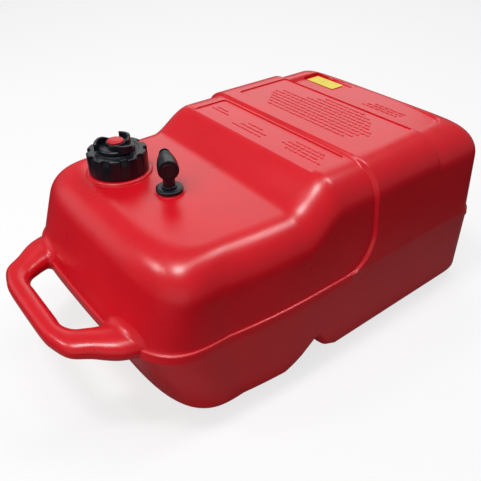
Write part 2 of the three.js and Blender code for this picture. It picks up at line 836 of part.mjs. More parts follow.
// Shaft of the vent screw, with a square head, a thread and the groove of its clip
function ventSpindle() {
  const head = knobBottom + socketDepth - seatGap;
  const groove = ventShaft - ventGroove;
  const grooveTop = clipTop + seatGap;
  const grooveBottom = clipTop - clipThickness - seatGap;
  const tail = grooveBottom - shaftTail;
  const shaft = turned([
    [0, tail], [ventShaft, tail], [ventShaft, grooveBottom], [groove, grooveBottom],
    [groove, grooveTop], [ventShaft, grooveTop], [ventShaft, knobBottom], [0, knobBottom],
  ], smallSides);
  const side = socketWidth - 2 * fitGap;
  return shaft.add(ventThread(1)).add(prism(rectangle(side, side, 0, 0), knobBottom - seatGap, head));
}

// Clip that keeps the vent screw in the cap
function ventRetainer() {
  const inner = ventShaft - ventGroove + fitGap;
  return ring(inner, ventBore + clipLap, clipTop - clipThickness, clipTop, smallSides);
}

// One curved wing of the vent knob, thinner towards its tip
function wing(turn) {
  const outside = [];
  const inside = [];
  for (let i = 0; i <= wingSteps; i++) {
    const share = i / wingSteps;
    const angle = turn - THREE.MathUtils.degToRad(wingSweep) * share;
    const radius = THREE.MathUtils.lerp(wingEnd, hubRadius, share ** wingCurl);
    const half = (wingThickness / 2) * THREE.MathUtils.lerp(wingTipShare, 1, share);
    outside.push([(radius + half) * Math.cos(angle), (radius + half) * Math.sin(angle)]);
    inside.push([(radius - half) * Math.cos(angle), (radius - half) * Math.sin(angle)]);
  }
  return prism([...outside, ...inside.reverse()], knobBottom + knobBase / 2, knobBottom + wingHeight);
}

// Vent knob with its wings, the recess of the badge and the socket of the shaft
function ventKnob() {
  const hubTop = knobBottom + hubHeight;
  const shoulder = knobBottom + knobBase;
  let knob = turned([
    [0, knobBottom], [knobRadius, knobBottom], [knobRadius, shoulder - knobBase / 3],
    [knobRadius - knobBase / 3, shoulder], [hubRadius + knobBase / 3, shoulder],
    [hubRadius, shoulder + knobBase / 3], [hubRadius, hubTop], [0, hubTop],
  ], roundSides);
  for (let i = 0; i < wingCount; i++) {
    knob = knob.add(wing(THREE.MathUtils.degToRad(wingTurn) + (2 * Math.PI * i) / wingCount));
  }
  const [tipHeight, middleHeight] = wingSlopeShares.map((share) => knobBottom + wingHeight * share);
  const reach = wingEnd + wingThickness;
  const slope = turned([
    [0, knobBottom], [reach, knobBottom], [reach, tipHeight], [wingEnd - wingThickness, middleHeight],
    [hubRadius, knobBottom + wingHeight], [0, knobBottom + wingHeight],
  ], roundSides);
  const recess = post(badgeRadius + fitGap, hubTop - badgeThickness, knobBottom + wingHeight + overrun, roundSides);
  const socket = prism(rectangle(socketWidth, socketWidth, 0, 0), knobBottom - overrun, knobBottom + socketDepth);
  return knob.intersect(slope).subtract(recess).subtract(socket);
}

// Domed badge set into the hub of the knob
function ventBadge() {
  const bottom = knobBottom + hubHeight - badgeThickness + seatGap;
  const edge = bottom + badgeThickness;
  const points = [[0, bottom], [badgeRadius, bottom]];
  for (let i = 0; i <= badgeSteps; i++) {
    const angle = (Math.PI * i) / (2 * badgeSteps);
    points.push([badgeRadius * Math.cos(angle), edge + badgeDome * Math.sin(angle)]);
  }
  points[points.length - 1][0] = 0;
  return turned(points, roundSides);
}

// Screwed bush that carries the swivel: flange, threaded shank, stem bore and counterbore
function pickupBush() {
  const bore = stemRadius + fitGap;
  const body = turned([
    [bore, counterboreTop], [bushCounterbore, counterboreTop], [bushCounterbore, bushEnd], [bushRadius, bushEnd],
    [bushRadius, bushBottomFace], [bushFlangeRadius, bushBottomFace], [bushFlangeRadius, bushTop - capBevel],
    [bushFlangeRadius - capBevel, bushTop], [bore, bushTop],
  ], roundSides);
  return body.add(bushThread(1));
}

// Flat ring under the flange of the bush
function pickupGasket() {
  const bottom = deckHeight + pickupBossHeight + seatGap;
  return ring(pickupHole + fitGap, bushFlangeRadius, bottom, bottom + pickupGasketThickness, roundSides);
}

// Swivel elbow: stem with two grooves, collar, tapering barrel and the passages in them
function swivelElbow() {
  const clipMiddle = counterboreTop - seatGap - clipThickness / 2;
  const clipHalf = clipThickness / 2 + seatGap;
  const collarBottom = bushTop + seatGap;
  const collarTop = collarBottom + collarHeight;
  const stem = turned([
    [0, stemEnd], [stemRadius, stemEnd], [stemRadius, clipMiddle - clipHalf],
    [stemRadius - stemGroove, clipMiddle - clipHalf], [stemRadius - stemGroove, clipMiddle + clipHalf],
    [stemRadius, clipMiddle + clipHalf], [stemRadius, stemRingLevel - oRingGroove / 2],
    [stemRadius - oRingDepth, stemRingLevel - oRingGroove / 2],
    [stemRadius - oRingDepth, stemRingLevel + oRingGroove / 2], [stemRadius, stemRingLevel + oRingGroove / 2],
    [stemRadius, collarBottom], [collarRadius, collarBottom], [collarRadius, collarTop], [stemRadius, collarTop],
    [stemRadius, barrelAxis], [0, barrelAxis],
  ], roundSides);
  const toBarrel = new THREE.Matrix4().makeTranslation(0, 0, barrelAxis).multiply(alongX);
  const barrel = turned([
    [0, -barrelBack], [barrelRadius - barrelBevel, -barrelBack], [barrelRadius, barrelBevel - barrelBack],
    [barrelRadius, barrelStraight - barrelBack], [barrelEndRadius, barrelEnd], [0, barrelEnd],
  ], roundSides, toBarrel);
  const recess = endCapFlange - barrelBack;
  const passage = turned([
    [0, -barrelBack - overrun], [endCapRadius, -barrelBack - overrun], [endCapRadius, recess],
    [chamberRadius, recess], [chamberRadius, chamberEnd], [seatRadius, chamberEnd],
    [seatRadius, chamberEnd + seatThickness], [socketRadius, chamberEnd + seatThickness],
    [socketRadius, barrelEnd + overrun], [0, barrelEnd + overrun],
  ], roundSides, toBarrel);
  const drop = post(stemBore, stemEnd - overrun, barrelAxis, smallSides);
  return stem.add(barrel).subtract(passage).subtract(drop);
}

// Seal between the stem and the bush
function swivelORing() {
  const radius = stemRadius - oRingDepth + fitGap + oRingSection;
  return roundRing(radius, oRingSection, stemRingLevel, smallSides);
}

// Clip that keeps the stem in the bush
function swivelRetainer() {
  const top = counterboreTop - seatGap;
  return ring(stemRadius - stemGroove + fitGap, bushCounterbore - fitGap, top - clipThickness, top, smallSides);
}

// Plug that closes the near end of the barrel, with a raised ring and a guide for the valve
function barrelEndCap() {
  const face = -barrelBack;
  const flangeEnd = face + endCapFlange - seatGap;
  const outer = endRingRadius + endRingWidth / 2;
  const inner = endRingRadius - endRingWidth / 2;
  return turned([
    [0, face], [inner, face], [inner, face - endRingRise], [outer, face - endRingRise], [outer, face],
    [endCapRadius - fitGap, face], [endCapRadius - fitGap, flangeEnd], [chamberRadius - fitGap, flangeEnd],
    [chamberRadius - fitGap, plugEnd], [guideRadius, plugEnd], [guideRadius, plugEnd - guideDepth],
    [0, plugEnd - guideDepth],
  ], roundSides, alongX);
}

// Check valve: a head on its seat and a stem in the guide of the end cap
function checkPoppet() {
  const front = chamberEnd - seatGap;
  const back = front - poppetThickness;
  const tail = plugEnd - 2 * seatGap;
  return turned([
    [0, tail], [poppetStem, tail], [poppetStem, back], [poppetRadius, back],
    [poppetRadius, front - poppetThickness / 3], [seatRadius, front], [0, front],
  ], smallSides, alongX);
}

// Coil spring that holds the check valve shut
function checkSpring() {
  const from = plugEnd + seatGap + springWire / 2;
  const to = chamberEnd - 2 * seatGap - poppetThickness - springWire / 2;
  const steps = springTurns * springSteps;
  const rings = [];
  for (let i = 0; i <= steps; i++) {
    const angle = (2 * Math.PI * i) / springSteps;
    const middle = THREE.MathUtils.lerp(from, to, i / steps);
    const points = [];
    for (let j = 0; j < wireSides; j++) {
      const turn = (2 * Math.PI * j) / wireSides;
      const radius = springRadius + (springWire / 2) * Math.cos(turn);
      const along = middle + (springWire / 2) * Math.sin(turn);
      points.push(new THREE.Vector3(radius * Math.cos(angle), radius * Math.sin(angle), along));
    }
    rings.push(points);
  }
  return loft(rings.reverse(), alongX);
}

// Hose nipple: spigot with a seal groove, flange, cone and tube with a rim
function hoseNipple() {
  const face = nippleFace;
  const flangeEnd = face + nippleFlange;
  const coneEnd = flangeEnd + nippleCone;
  const end = coneEnd + nippleTube;
  const spigot = socketRadius - fitGap;
  const [grooveStart, grooveEnd] = [nippleGroove - oRingGroove / 2, nippleGroove + oRingGroove / 2];
  return turned([
    [nippleBore, face - nippleSpigot], [spigot, face - nippleSpigot], [spigot, grooveStart],
    [spigot - oRingDepth, grooveStart], [spigot - oRingDepth, grooveEnd], [spigot, grooveEnd], [spigot, face],
    [nippleFlangeRadius, face], [nippleFlangeRadius, flangeEnd], [nippleConeRadius, flangeEnd],
    [nippleTubeRadius, coneEnd], [nippleTubeRadius, end - nippleRimLength],
    [nippleTubeRadius + nippleRim, end - nippleRimLength], [nippleTubeRadius + nippleRim, end - nippleRim],
    [nippleTubeRadius, end], [nippleBore, end],
  ], smallSides, alongX);
}

// Seal on the spigot of the nipple
function nippleSeal() {
  return roundRing(socketRadius - oRingDepth + oRingSection, oRingSection, nippleGroove, smallSides, alongX);
}

// Barbed adapter pushed into the bush from below
function barbAdapter() {
  const flangeTop = bushEnd - seatGap;
  const flangeBottom = flangeTop - adapterFlange;
  const end = flangeBottom - barbLength;
  const step = barbLength / barbCount;
  const plug = bushCounterbore - fitGap;
  const flange = pickupHole - fitGap;
  const profile = [[adapterBore, end]];
  for (let i = 0; i < barbCount; i++) {
    profile.push([barbRadius, end + i * step]);
    profile.push([barbRadius + barbRise, end + (i + barbShare) * step]);
  }
  profile.push([barbRadius, flangeBottom], [flange, flangeBottom], [flange, flangeTop]);
  profile.push([plug, flangeTop], [plug, adapterTop], [adapterBore, adapterTop]);
  return turned(profile, smallSides);
}

// Tube that reaches down to the floor of the tank
function dipTube() {
  return ring(tubeBore, tubeRadius, tubeEnd, tubeTop, smallSides);
}

// Band clamp round the tube where it grips the barbs
function dipTubeClamp() {
  const top = tubeTop - clampWidth / 2;
  const inner = tubeRadius + fitGap;
  const lug = prism(
    rectangle(clampWidth, clampWidth / 2, inner + clampThickness / 2 + clampWidth / 2, 0), top - clampWidth, top,
  );
  return ring(inner, inner + clampThickness, top - clampWidth, top, smallSides).add(lug);
}

// Strainer: a slotted cup pushed over the end of the tube
function strainer() {
  const bottom = strainerBottom;
  const top = bottom + strainerLength;
  const grip = strainerGripRadius;
  const inner = strainerRadius - strainerWall;
  const shoulder = top - strainerGrip;
  let cup = turned([
    [0, bottom], [strainerRadius, bottom], [strainerRadius, shoulder], [grip + strainerWall, shoulder + strainerWall],
    [grip + strainerWall, top], [grip, top], [grip, shoulder], [inner, shoulder - strainerWall],
    [inner, bottom + strainerWall], [0, bottom + strainerWall],
  ], smallSides);
  const slotLength = 2 * (strainerRadius + overrun);
  for (let i = 0; i < strainerSlots / 2; i++) {
    const turn = new THREE.Matrix4().makeRotationZ((2 * Math.PI * i) / strainerSlots);
    const outline = rectangle(slotLength, slotWidth, 0, 0);
    cup = cup.subtract(prism(outline, bottom + 2 * strainerWall, shoulder - 2 * strainerWall, turn));
  }
  return cup;
}

// Bare information plate with rounded corners
function infoPlate() {
  const [length, width] = [plateWidth / 2 - plateRound, plateLength / 2 - plateRound];
  const outline = [];
  const corners = [[1, 1], [-1, 1], [-1, -1], [1, -1]];
  corners.forEach(([u, v], i) => {
    for (let j = 0; j <= plateSteps; j++) {
      const angle = (Math.PI / 2) * (i + j / plateSteps);
      outline.push([u * length + plateRound * Math.cos(angle), v * width + plateRound * Math.sin(angle)]);
    }
  });
  const bottom = terraceHeight - pocketDepth + seatGap;
  return prism(outline, bottom, bottom + plateThickness);
}

// A named mesh in a group
function place(group, name, manifold, material) {
  const mesh = new THREE.Mesh(surface(manifold), material);
  mesh.name = name;
  group.add(mesh);
}

const tank = new THREE.Group();
place(tank, "tank_shell", tankShell(), redPlastic);

const cap = new THREE.Group();
cap.position.set(fillerX, fillerSide, 0);
tank.add(cap);
place(cap, "filler_cap", fillerCap(), blackPlastic);
place(cap, "filler_gasket", fillerGasket(), blackRubber);
place(cap, "vent_knob", ventKnob(), blackPlastic);
place(cap, "vent_badge", ventBadge(), badgePlastic);
place(cap, "vent_spindle", ventSpindle(), blackPlastic);
place(cap, "vent_seal", roundRing(sealRadius, sealSection, sealSeat + seatGap + sealSection, roundSides), blackRubber);
place(cap, "vent_retainer", ventRetainer(), springSteel);

const pickup = new THREE.Group();
pickup.position.set(pickupX, pickupSide, 0);
tank.add(pickup);
place(pickup, "pickup_bush", pickupBush(), blackPlastic);
place(pickup, "pickup_gasket", pickupGasket(), blackRubber);
place(pickup, "barb_adapter", barbAdapter(), blackPlastic);
place(pickup, "dip_tube", dipTube(), paleTube);
place(pickup, "dip_tube_clamp", dipTubeClamp(), springSteel);
place(pickup, "strainer", strainer(), paleTube);

const swivel = new THREE.Group();
swivel.rotation.z = THREE.MathUtils.degToRad(barrelAngle);
pickup.add(swivel);
place(swivel, "swivel_elbow", swivelElbow(), blackPlastic);
place(swivel, "swivel_o_ring", swivelORing(), blackRubber);
place(swivel, "swivel_retainer", swivelRetainer(), springSteel);

const barrel = new THREE.Group();
barrel.position.z = barrelAxis;
swivel.add(barrel);
place(barrel, "barrel_end_cap", barrelEndCap(), blackPlastic);
place(barrel, "check_poppet", checkPoppet(), blackPlastic);
place(barrel, "check_spring", checkSpring(), springSteel);
place(barrel, "hose_nipple", hoseNipple(), blackPlastic);
place(barrel, "nipple_seal", nippleSeal(), blackRubber);

const plate = new THREE.Group();
plate.position.set(frontX + platePlace, plateSide, 0);
tank.add(plate);
place(plate, "info_plate", infoPlate(), yellowPlate);

export default tank;
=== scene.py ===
# %% [markdown]
# # A red fuel tank for a small boat
# The object is a blow-moulded polyethylene tank with a carrying handle, a black filler cap with a
# winged vent screw, and a black swivelling fuel pick-up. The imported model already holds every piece
# at its real size. This lesson gives each piece its fine surface and its finish, and keeps the
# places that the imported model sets.
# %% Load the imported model
import json
import math
import random

import bpy
from mathutils import Matrix, Vector
from mathutils.bvhtree import BVHTree

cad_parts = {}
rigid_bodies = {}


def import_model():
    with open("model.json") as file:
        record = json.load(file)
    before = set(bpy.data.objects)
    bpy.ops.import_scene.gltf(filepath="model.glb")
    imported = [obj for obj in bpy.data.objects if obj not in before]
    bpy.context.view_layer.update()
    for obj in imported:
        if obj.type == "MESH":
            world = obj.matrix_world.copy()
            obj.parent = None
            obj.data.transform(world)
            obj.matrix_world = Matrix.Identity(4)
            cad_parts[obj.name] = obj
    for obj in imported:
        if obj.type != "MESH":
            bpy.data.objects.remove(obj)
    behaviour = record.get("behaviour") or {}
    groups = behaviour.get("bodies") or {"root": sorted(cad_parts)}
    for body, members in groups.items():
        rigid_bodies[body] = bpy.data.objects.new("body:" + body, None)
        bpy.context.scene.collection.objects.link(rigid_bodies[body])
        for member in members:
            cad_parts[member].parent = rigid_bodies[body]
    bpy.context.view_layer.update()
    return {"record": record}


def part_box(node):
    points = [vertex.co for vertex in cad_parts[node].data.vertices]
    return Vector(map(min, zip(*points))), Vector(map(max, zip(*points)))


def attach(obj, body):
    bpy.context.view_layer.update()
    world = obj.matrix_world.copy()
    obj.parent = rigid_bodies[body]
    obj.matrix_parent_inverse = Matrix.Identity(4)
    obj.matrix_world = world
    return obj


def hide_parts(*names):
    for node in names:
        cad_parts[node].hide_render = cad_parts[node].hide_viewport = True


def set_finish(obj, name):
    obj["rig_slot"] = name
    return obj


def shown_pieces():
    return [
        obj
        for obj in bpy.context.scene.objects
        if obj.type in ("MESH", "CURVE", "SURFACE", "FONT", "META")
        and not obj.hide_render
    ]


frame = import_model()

MM = 0.001

# %% [markdown]
# ## Camera
# The camera stands where the photograph was taken from, to the left of the handle and above the
# deck. Its three axes are written out from two angles and a small roll, because a matrix of axes
# leaves no doubt about the order of turns. The focal length belongs to a sensor 36 mm wide.
# %% Camera
CAMERA_PLACE = (-0.3718, -0.4770, 0.5063)
CAMERA_AZIMUTH = math.radians(-38.035)
CAMERA_ELEVATION = math.radians(35.412)
CAMERA_ROLL = math.radians(-0.339)
CAMERA_LENS = 42.07


def camera_axes(azimuth, elevation, roll):
    """Right, up and backward directions of a camera."""
    level = math.cos(elevation)
    back = Vector((math.sin(azimuth) * level, -math.cos(azimuth) * level, math.sin(elevation)))
    right = Vector((math.cos(azimuth), math.sin(azimuth), 0))
    up = back.cross(right)
    turned_right = right * math.cos(roll) + up * math.sin(roll)
    return turned_right, back.cross(turned_right), back


camera = bpy.data.objects.new("camera", bpy.data.cameras.new("camera"))
bpy.context.scene.collection.objects.link(camera)
camera.data.lens = CAMERA_LENS
camera.data.sensor_width = 36
axes = Matrix(camera_axes(CAMERA_AZIMUTH, CAMERA_ELEVATION, CAMERA_ROLL)).transposed()
camera.matrix_world = Matrix.Translation(CAMERA_PLACE) @ axes.to_4x4()
bpy.context.scene.camera = camera
print("camera lens", camera.data.lens, "mm")

# %% [markdown]
# ## Making meshes
# Every piece here is drawn in millimetres as points and faces, and turned to metres once, when its
# object is made. A turned piece comes from a profile, as on a lathe, and a drawn-out piece from a
# row of sections. Both are closed, so that they can be joined and cut.
# %% Mesh helpers
def lerp(a, b, share):
    """Value part of the way from a to b."""
    return a + (b - a) * share


def smoothstep(value, low, high):
    """Soft step from 0 below low to 1 above high."""
    share = min(1.0, max(0.0, (value - low) / (high - low)))
    return share * share * (3 - 2 * share)


def make_object(name, points, faces):
    """Object from points in millimetres, linked to the scene."""
    mesh = bpy.data.meshes.new(name)
    mesh.from_pydata([Vector(point) * MM for point in points], [], faces)
    mesh.update()
    made = bpy.data.objects.new(name, mesh)
    bpy.context.scene.collection.objects.link(made)
    return made


def rounded(corners, steps=4):
    """Profile whose corners (radius, height, rounding) are replaced by short curves."""
    profile = []
    for i, (radius, height, rounding, *depth) in enumerate(corners):
        corner = Vector((radius, height))
        extra = depth[0] if depth else 0.0
        if rounding == 0:
            profile.append((radius, height, extra))
            continue
        back = Vector(corners[i - 1][:2]) - corner
        ahead = Vector(corners[(i + 1) % len(corners)][:2]) - corner
        reach = min(rounding, 0.45 * back.length, 0.45 * ahead.length)
        start, end = corner + back.normalized() * reach, corner + ahead.normalized() * reach
        for k in range(steps + 1):
            t = k / steps
            point = start * (1 - t) ** 2 + corner * 2 * t * (1 - t) + end * t * t
            profile.append((point.x, point.y, extra))
    return profile


def turned(name, profile, sides, wave=None, place=(0, 0, 0)):
    """Closed piece turned about Z from an anticlockwise profile; wave(angle) draws its rows inwards."""
    points, rows = [], []
    for radius, height, *depth in profile:
        if radius < 1e-6:
            rows.append([len(points)] * sides)
            points.append((place[0], place[1], height + place[2]))
            continue
        rows.append(list(range(len(points), len(points) + sides)))
        for k in range(sides):
            angle = 2 * math.pi * k / sides
            drawn = radius - (depth[0] * wave(angle) if wave and depth else 0)
            x, y = drawn * math.cos(angle), drawn * math.sin(angle)
            points.append((place[0] + x, place[1] + y, height + place[2]))
    on_axis = profile[0][0] < 1e-6
    faces = []
    for i in range(len(rows) - 1 if on_axis else len(rows)):
        low, high = rows[i], rows[(i + 1) % len(rows)]
        for k in range(sides):
            n = (k + 1) % sides
            corners = [low[k], low[n], high[n], high[k]]
            faces.append(list(dict.fromkeys(corners)))
    return make_object(name, points, [face for face in faces if len(face) > 2])


def drawn_out(name, rings):
    """Closed piece over a row of sections with the same number of points."""
    count, last = len(rings[0]), len(rings) - 1
    points = [point for ring in rings for point in ring]
    faces = []
    for i in range(last):
        for k in range(count):
            n = (k + 1) % count
            faces.append([i * count + k, i * count + n, (i + 1) * count + n, (i + 1) * count + k])
    faces.append(list(range(count))[::-1])
    faces.append([last * count + k for k in range(count)])
    return make_object(name, points, faces)


def prism(name, outline, bottom, top):
    """Upright block over a plan outline that runs anticlockwise."""
    return drawn_out(name, [[(x, y, bottom) for x, y in outline], [(x, y, top) for x, y in outline]])


# %% Joining, cutting and smoothing
def apply_modifiers(piece):
    """Writes what the modifiers of a piece show into its mesh."""
    bpy.context.view_layer.update()
    shown = piece.evaluated_get(bpy.context.evaluated_depsgraph_get())
    mesh = bpy.data.meshes.new_from_object(shown)
    piece.modifiers.clear()
    piece.data = mesh


def combine(piece, tool, operation):
    """Joins a closed mesh to a piece, or cuts it away, and drops the tool."""
    step = piece.modifiers.new("combine", "BOOLEAN")
    step.object = tool
    step.operation = operation
    step.solver = "MANIFOLD"
    apply_modifiers(piece)
    bpy.data.objects.remove(tool)


def break_edges(piece, width, segments=2):
    """Small round on every sharp edge of a piece, as a mould leaves it."""
    step = piece.modifiers.new("break_edges", "BEVEL")
    step.width = width * MM
    step.segments = segments
    step.limit_method = "ANGLE"
    step.angle_limit = math.radians(40)
    apply_modifiers(piece)


def smooth(piece, sharp_angle=38):
    """Soft shading with crisp edges, and flat faces that stay flat."""
    piece.data.shade_smooth()
    piece.data.set_sharp_from_angle(angle=math.radians(sharp_angle))
    step = piece.modifiers.new("even_normals", "WEIGHTED_NORMAL")
    step.keep_sharp = True
    step.weight = 60


def hand_over(piece, body, slot, *nodes):
    """Shades a finished piece, puts it on its body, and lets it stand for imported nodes."""
    smooth(piece)
    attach(piece, body)
    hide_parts(*nodes)
    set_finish(piece, slot)
    print(f"{piece.name}: {len(piece.data.polygons)} faces")
    return piece


# %% [markdown]
# ## Tank body
# A blow-moulded body has no flat sheets that meet at corners. It is one skin whose walls lean, whose
# plan corners are soft, and whose wall steps back over a ledge where the two halves of the mould
# met. Below the ledge runs a low band, and the ledge itself has a rounded lip and a small fillet.
# The body could be a box with bevels, but the corners of the real one change from foot to deck.
# Here each upright column of points is a wall profile, and the columns stand round the plan.
# %% Sizes of the body
tank_low, tank_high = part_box("tank_shell")
HANDLE_REACH = 54.9
WALL = 3.0
SEAM = 109.7
DECK = 193.5
PLATEAU = 222.4
BLOCK_RISE = 3.6
TERRACE_DROP = 9.6
LEDGE, REAR_LEDGE = 4.0, 5.0
BAND_HEIGHT, BAND_STEP, LEDGE_FILLET = 9.5, 0.8, 2.2
LIP_ROUND, LIP_MIDDLE, LIP_DROP, LIP_TURNS = 1.3, 2.35, 1.62, (math.radians(8), math.radians(70))
SIDE_FOOT, SIDE_FOOT_FRONT, FRONT_FOOT, REAR_FOOT = 0.8, 7.3, 38.3, 3.0
SIDE_LEAN, FRONT_LEAN, REAR_LEAN = 6.1, 21.8, 3.8
FOOT_ROUND, CREST_ROUND, FRONT_CREST_ROUND, REAR_CREST_ROUND = 17.9, 41.8, 45.7, 26.2
FRONT_REACHES = (72.5, 89.3, 55.9)
REAR_REACHES = (44.7, 52.8, 30.2)
FRONT_POWERS = (3.45, 3.45, 4.15)
REAR_POWER = 3.5
TAPER_REACH, TAPER_DEPTH = 201.0, 27.5
RAMP_START, RAMP_END = 191.3, 246.3
RIDGE, RIDGE_WIDTH, RIDGE_SWEEP, RIDGE_BEND = 294.5, 4.0, 39.5, 45.3
TERRACE_LENGTH, TERRACE_STEP = 107.3, 6.0
RIM_RISE = 4.5
CHANNEL_START, CHANNEL_LENGTH, CHANNEL_DEPTH = 167.0, 79.3, 29.0
CHANNEL_SHARES = [
    (0, 0), (0.15, 0.2), (0.28, 0.43), (0.38, 0.67), (0.51, 0.965),
    (0.6, 1), (0.66, 0.86), (0.73, 0.5), (0.82, 0.22), (1, 0),
]
HALF_WIDTH = (tank_high.y - tank_low.y) / 2 / MM
FRONT_X = tank_low.x / MM + HANDLE_REACH
REAR_X = tank_high.x / MM
BODY_LENGTH = REAR_X - FRONT_X
TERRACE = BODY_LENGTH - TERRACE_LENGTH
TERRACE_TOP = PLATEAU + BLOCK_RISE - TERRACE_DROP
print(f"body {BODY_LENGTH:.1f} mm long and {2 * HALF_WIDTH:.1f} mm wide")


# %% Curves of the body along its length
def spline(points, share):
    """Point on a smooth curve through points, part of the way along their row."""
    place = (len(points) - 1) * share
    i = min(int(place), len(points) - 2)
    t = place - i
    a, b, c, d = (Vector(points[min(max(i + k, 0), len(points) - 1)]) for k in (-1, 0, 1, 2))
    start, end = (c - a) / 2, (d - b) / 2
    return (b * 2 - c * 2 + start + end) * t**3 + (c * 3 - b * 3 - start * 2 - end) * t**2 + start * t + b


def half_width_at(x):
    """Half width at the seam, drawn in towards the handle."""
    share = max(0.0, (FRONT_X + TAPER_REACH - x) / TAPER_REACH)
    return HALF_WIDTH - TAPER_DEPTH * share * share


def block_share(x):
    """Soft step over the ridge of the rear block."""
    return smoothstep(x - FRONT_X, RIDGE - RIDGE_WIDTH / 2, RIDGE + RIDGE_WIDTH / 2)


def terrace_share(x):
    """Soft step down to the rear terrace."""
    return smoothstep(x - FRONT_X, TERRACE - TERRACE_STEP / 2, TERRACE + TERRACE_STEP / 2)


def top_at(x):
    """Height of the top between the sides."""
    ramp = smoothstep(x - FRONT_X, RAMP_START, RAMP_END)
    return DECK + (PLATEAU - DECK) * ramp + BLOCK_RISE * block_share(x) - TERRACE_DROP * terrace_share(x)


def floor_at(x):
    """Height of the underside, raised over the strap channel."""
    share = (x - FRONT_X - CHANNEL_START) / CHANNEL_LENGTH
    for (x0, z0), (x1, z1) in zip(CHANNEL_SHARES, CHANNEL_SHARES[1:]):
        if x0 <= share <= x1:
            return CHANNEL_DEPTH * lerp(z0, z1, (share - x0) / (x1 - x0))
    return 0.0


def ridge_sweep_at(z):
    """How far the ridge of the rear block runs forward at a height."""
    share = min(1.0, max(0.0, (SEAM + RIDGE_BEND - z) / RIDGE_BEND))
    return RIDGE_SWEEP * (1 - math.sqrt(1 - share * share))


def sweep_weight(x):
    """Share of that sweep which a column takes, fading out on both sides of the ridge."""
    place = x - FRONT_X
    if place < RIDGE:
        return min(1.0, max(0.0, (place - RAMP_END) / (RIDGE - RIDGE_WIDTH - RAMP_END)))
    return min(1.0, max(0.0, (TERRACE - place) / (TERRACE - RIDGE - RIDGE_WIDTH)))


# %% Wall profile
FOOT_STEPS, LOW_STEPS, LIP_STEPS, FILLET_STEPS, HIGH_STEPS, CREST_STEPS = 8, 6, 5, 4, 12, 14


def wall_profile(foot, lean, ledge, crest, floor, top, skin):
    """Wall as (inset, height) from the underside to the deck; drawn in by a skin, its seam is plain."""
    slope = (foot - BAND_STEP) / (SEAM - BAND_HEIGHT)
    band = SEAM - BAND_HEIGHT
    bank, tilt = math.atan(slope), math.radians(lean)
    low, high, base, lid = FOOT_ROUND - skin, crest - skin, floor + skin, top - skin

    def low_inset(z):
        return BAND_STEP + (band - z) * slope + skin / math.cos(bank)

    def high_inset(z):
        return ledge + (z - SEAM) * math.tan(tilt) + skin / math.cos(tilt)

    turn = math.pi / 2 - bank
    centre = low_inset(base) + low * math.tan(turn / 2)
    angles = [turn * i / FOOT_STEPS for i in range(FOOT_STEPS + 1)]
    points = [(centre - low * math.sin(a), base + low * (1 - math.cos(a))) for a in angles]
    heights = [lerp(points[-1][1], band - BAND_STEP, i / LOW_STEPS) for i in range(1, LOW_STEPS)]
    points += [(low_inset(z), z) for z in heights]
    points.append((low_inset(band), band - BAND_STEP))
    start = SEAM - skin
    if skin == 0:
        points += [
            (BAND_STEP / 2, band - BAND_STEP / 2), (BAND_STEP / 6, band - BAND_STEP / 8),
            (0, band + BAND_STEP / 2),
        ]
        for i in range(LIP_STEPS + 1):
            a = lerp(*LIP_TURNS, i / LIP_STEPS)
            inset = (LIP_MIDDLE - LIP_ROUND * math.cos(a)) * ledge / LEDGE
            points.append((inset, SEAM - LIP_DROP + LIP_ROUND * math.sin(a)))
        fillet = min(LEDGE_FILLET, 0.25 * ledge)
        for i in range(FILLET_STEPS):
            a = math.pi / 2 * i / FILLET_STEPS
            points.append((ledge - fillet * (1 - math.sin(a)), SEAM + LEDGE_FILLET * (1 - math.cos(a))))
        start = SEAM + LEDGE_FILLET
    else:
        points.append((ledge + skin, start))
    turn = math.pi / 2 - tilt
    centre = high_inset(lid) + high * math.tan(turn / 2)
    crest_start = lid - high * (1 - math.sin(tilt))
    heights = [lerp(start, crest_start, i / HIGH_STEPS) for i in range(1 if skin else 0, HIGH_STEPS)]
    points += [(high_inset(z), z) for z in heights]
    angles = [tilt + turn * i / CREST_STEPS for i in range(CREST_STEPS + 1)]
    points += [(centre - high * math.cos(a), lid - high * (1 - math.sin(a))) for a in angles]
    return points


def side_profile(x, ledge, skin, rim):
    """Wall profile of a side at a place along the tank."""
    share = min(1.0, max(0.0, (x - FRONT_X) / (CHANNEL_START + CHANNEL_LENGTH)))
    foot = lerp(SIDE_FOOT_FRONT, SIDE_FOOT, share)
    return wall_profile(foot, SIDE_LEAN, ledge, CREST_ROUND, floor_at(x), top_at(x) + rim, skin)


# %% [markdown]
# The plan corners are quarters of a superellipse, a curve between an ellipse and a rectangle. Its
# reach along the tank and its power change with the height, as the draft of a mould makes them do.
# %% Columns round the body
CORNER_STEPS = 40
FRONT_COLUMNS, REAR_COLUMNS = 14, 10


def at_level(z, top, values):
    """A corner's value at a height, from those at the foot, the seam and the deck."""
    foot, seam, deck = values
    if z > SEAM:
        return lerp(seam, deck, (min(z, top) - SEAM) / (top - SEAM))
    return lerp(foot, seam, z / SEAM)


def station_places():
    """Places of the side columns, closer together over the channel, the ridge and the terrace edge."""
    spans = [
        (CHANNEL_START, CHANNEL_START + CHANNEL_LENGTH, 2.0),
        (CHANNEL_START + CHANNEL_LENGTH, RIDGE - RIDGE_WIDTH, 5.0),
        (RIDGE - RIDGE_WIDTH, RIDGE + RIDGE_WIDTH, 0.8),
        (RIDGE + RIDGE_WIDTH, TERRACE - TERRACE_STEP, 6.0),
        (TERRACE - TERRACE_STEP, TERRACE + TERRACE_STEP, 1.0),
    ]
    places = []
    for start, end, spacing in spans:
        count = max(1, round((end - start) / spacing))
        places += [FRONT_X + lerp(start, end, i / count) for i in range(count)]
    return places + [FRONT_X + TERRACE + TERRACE_STEP]


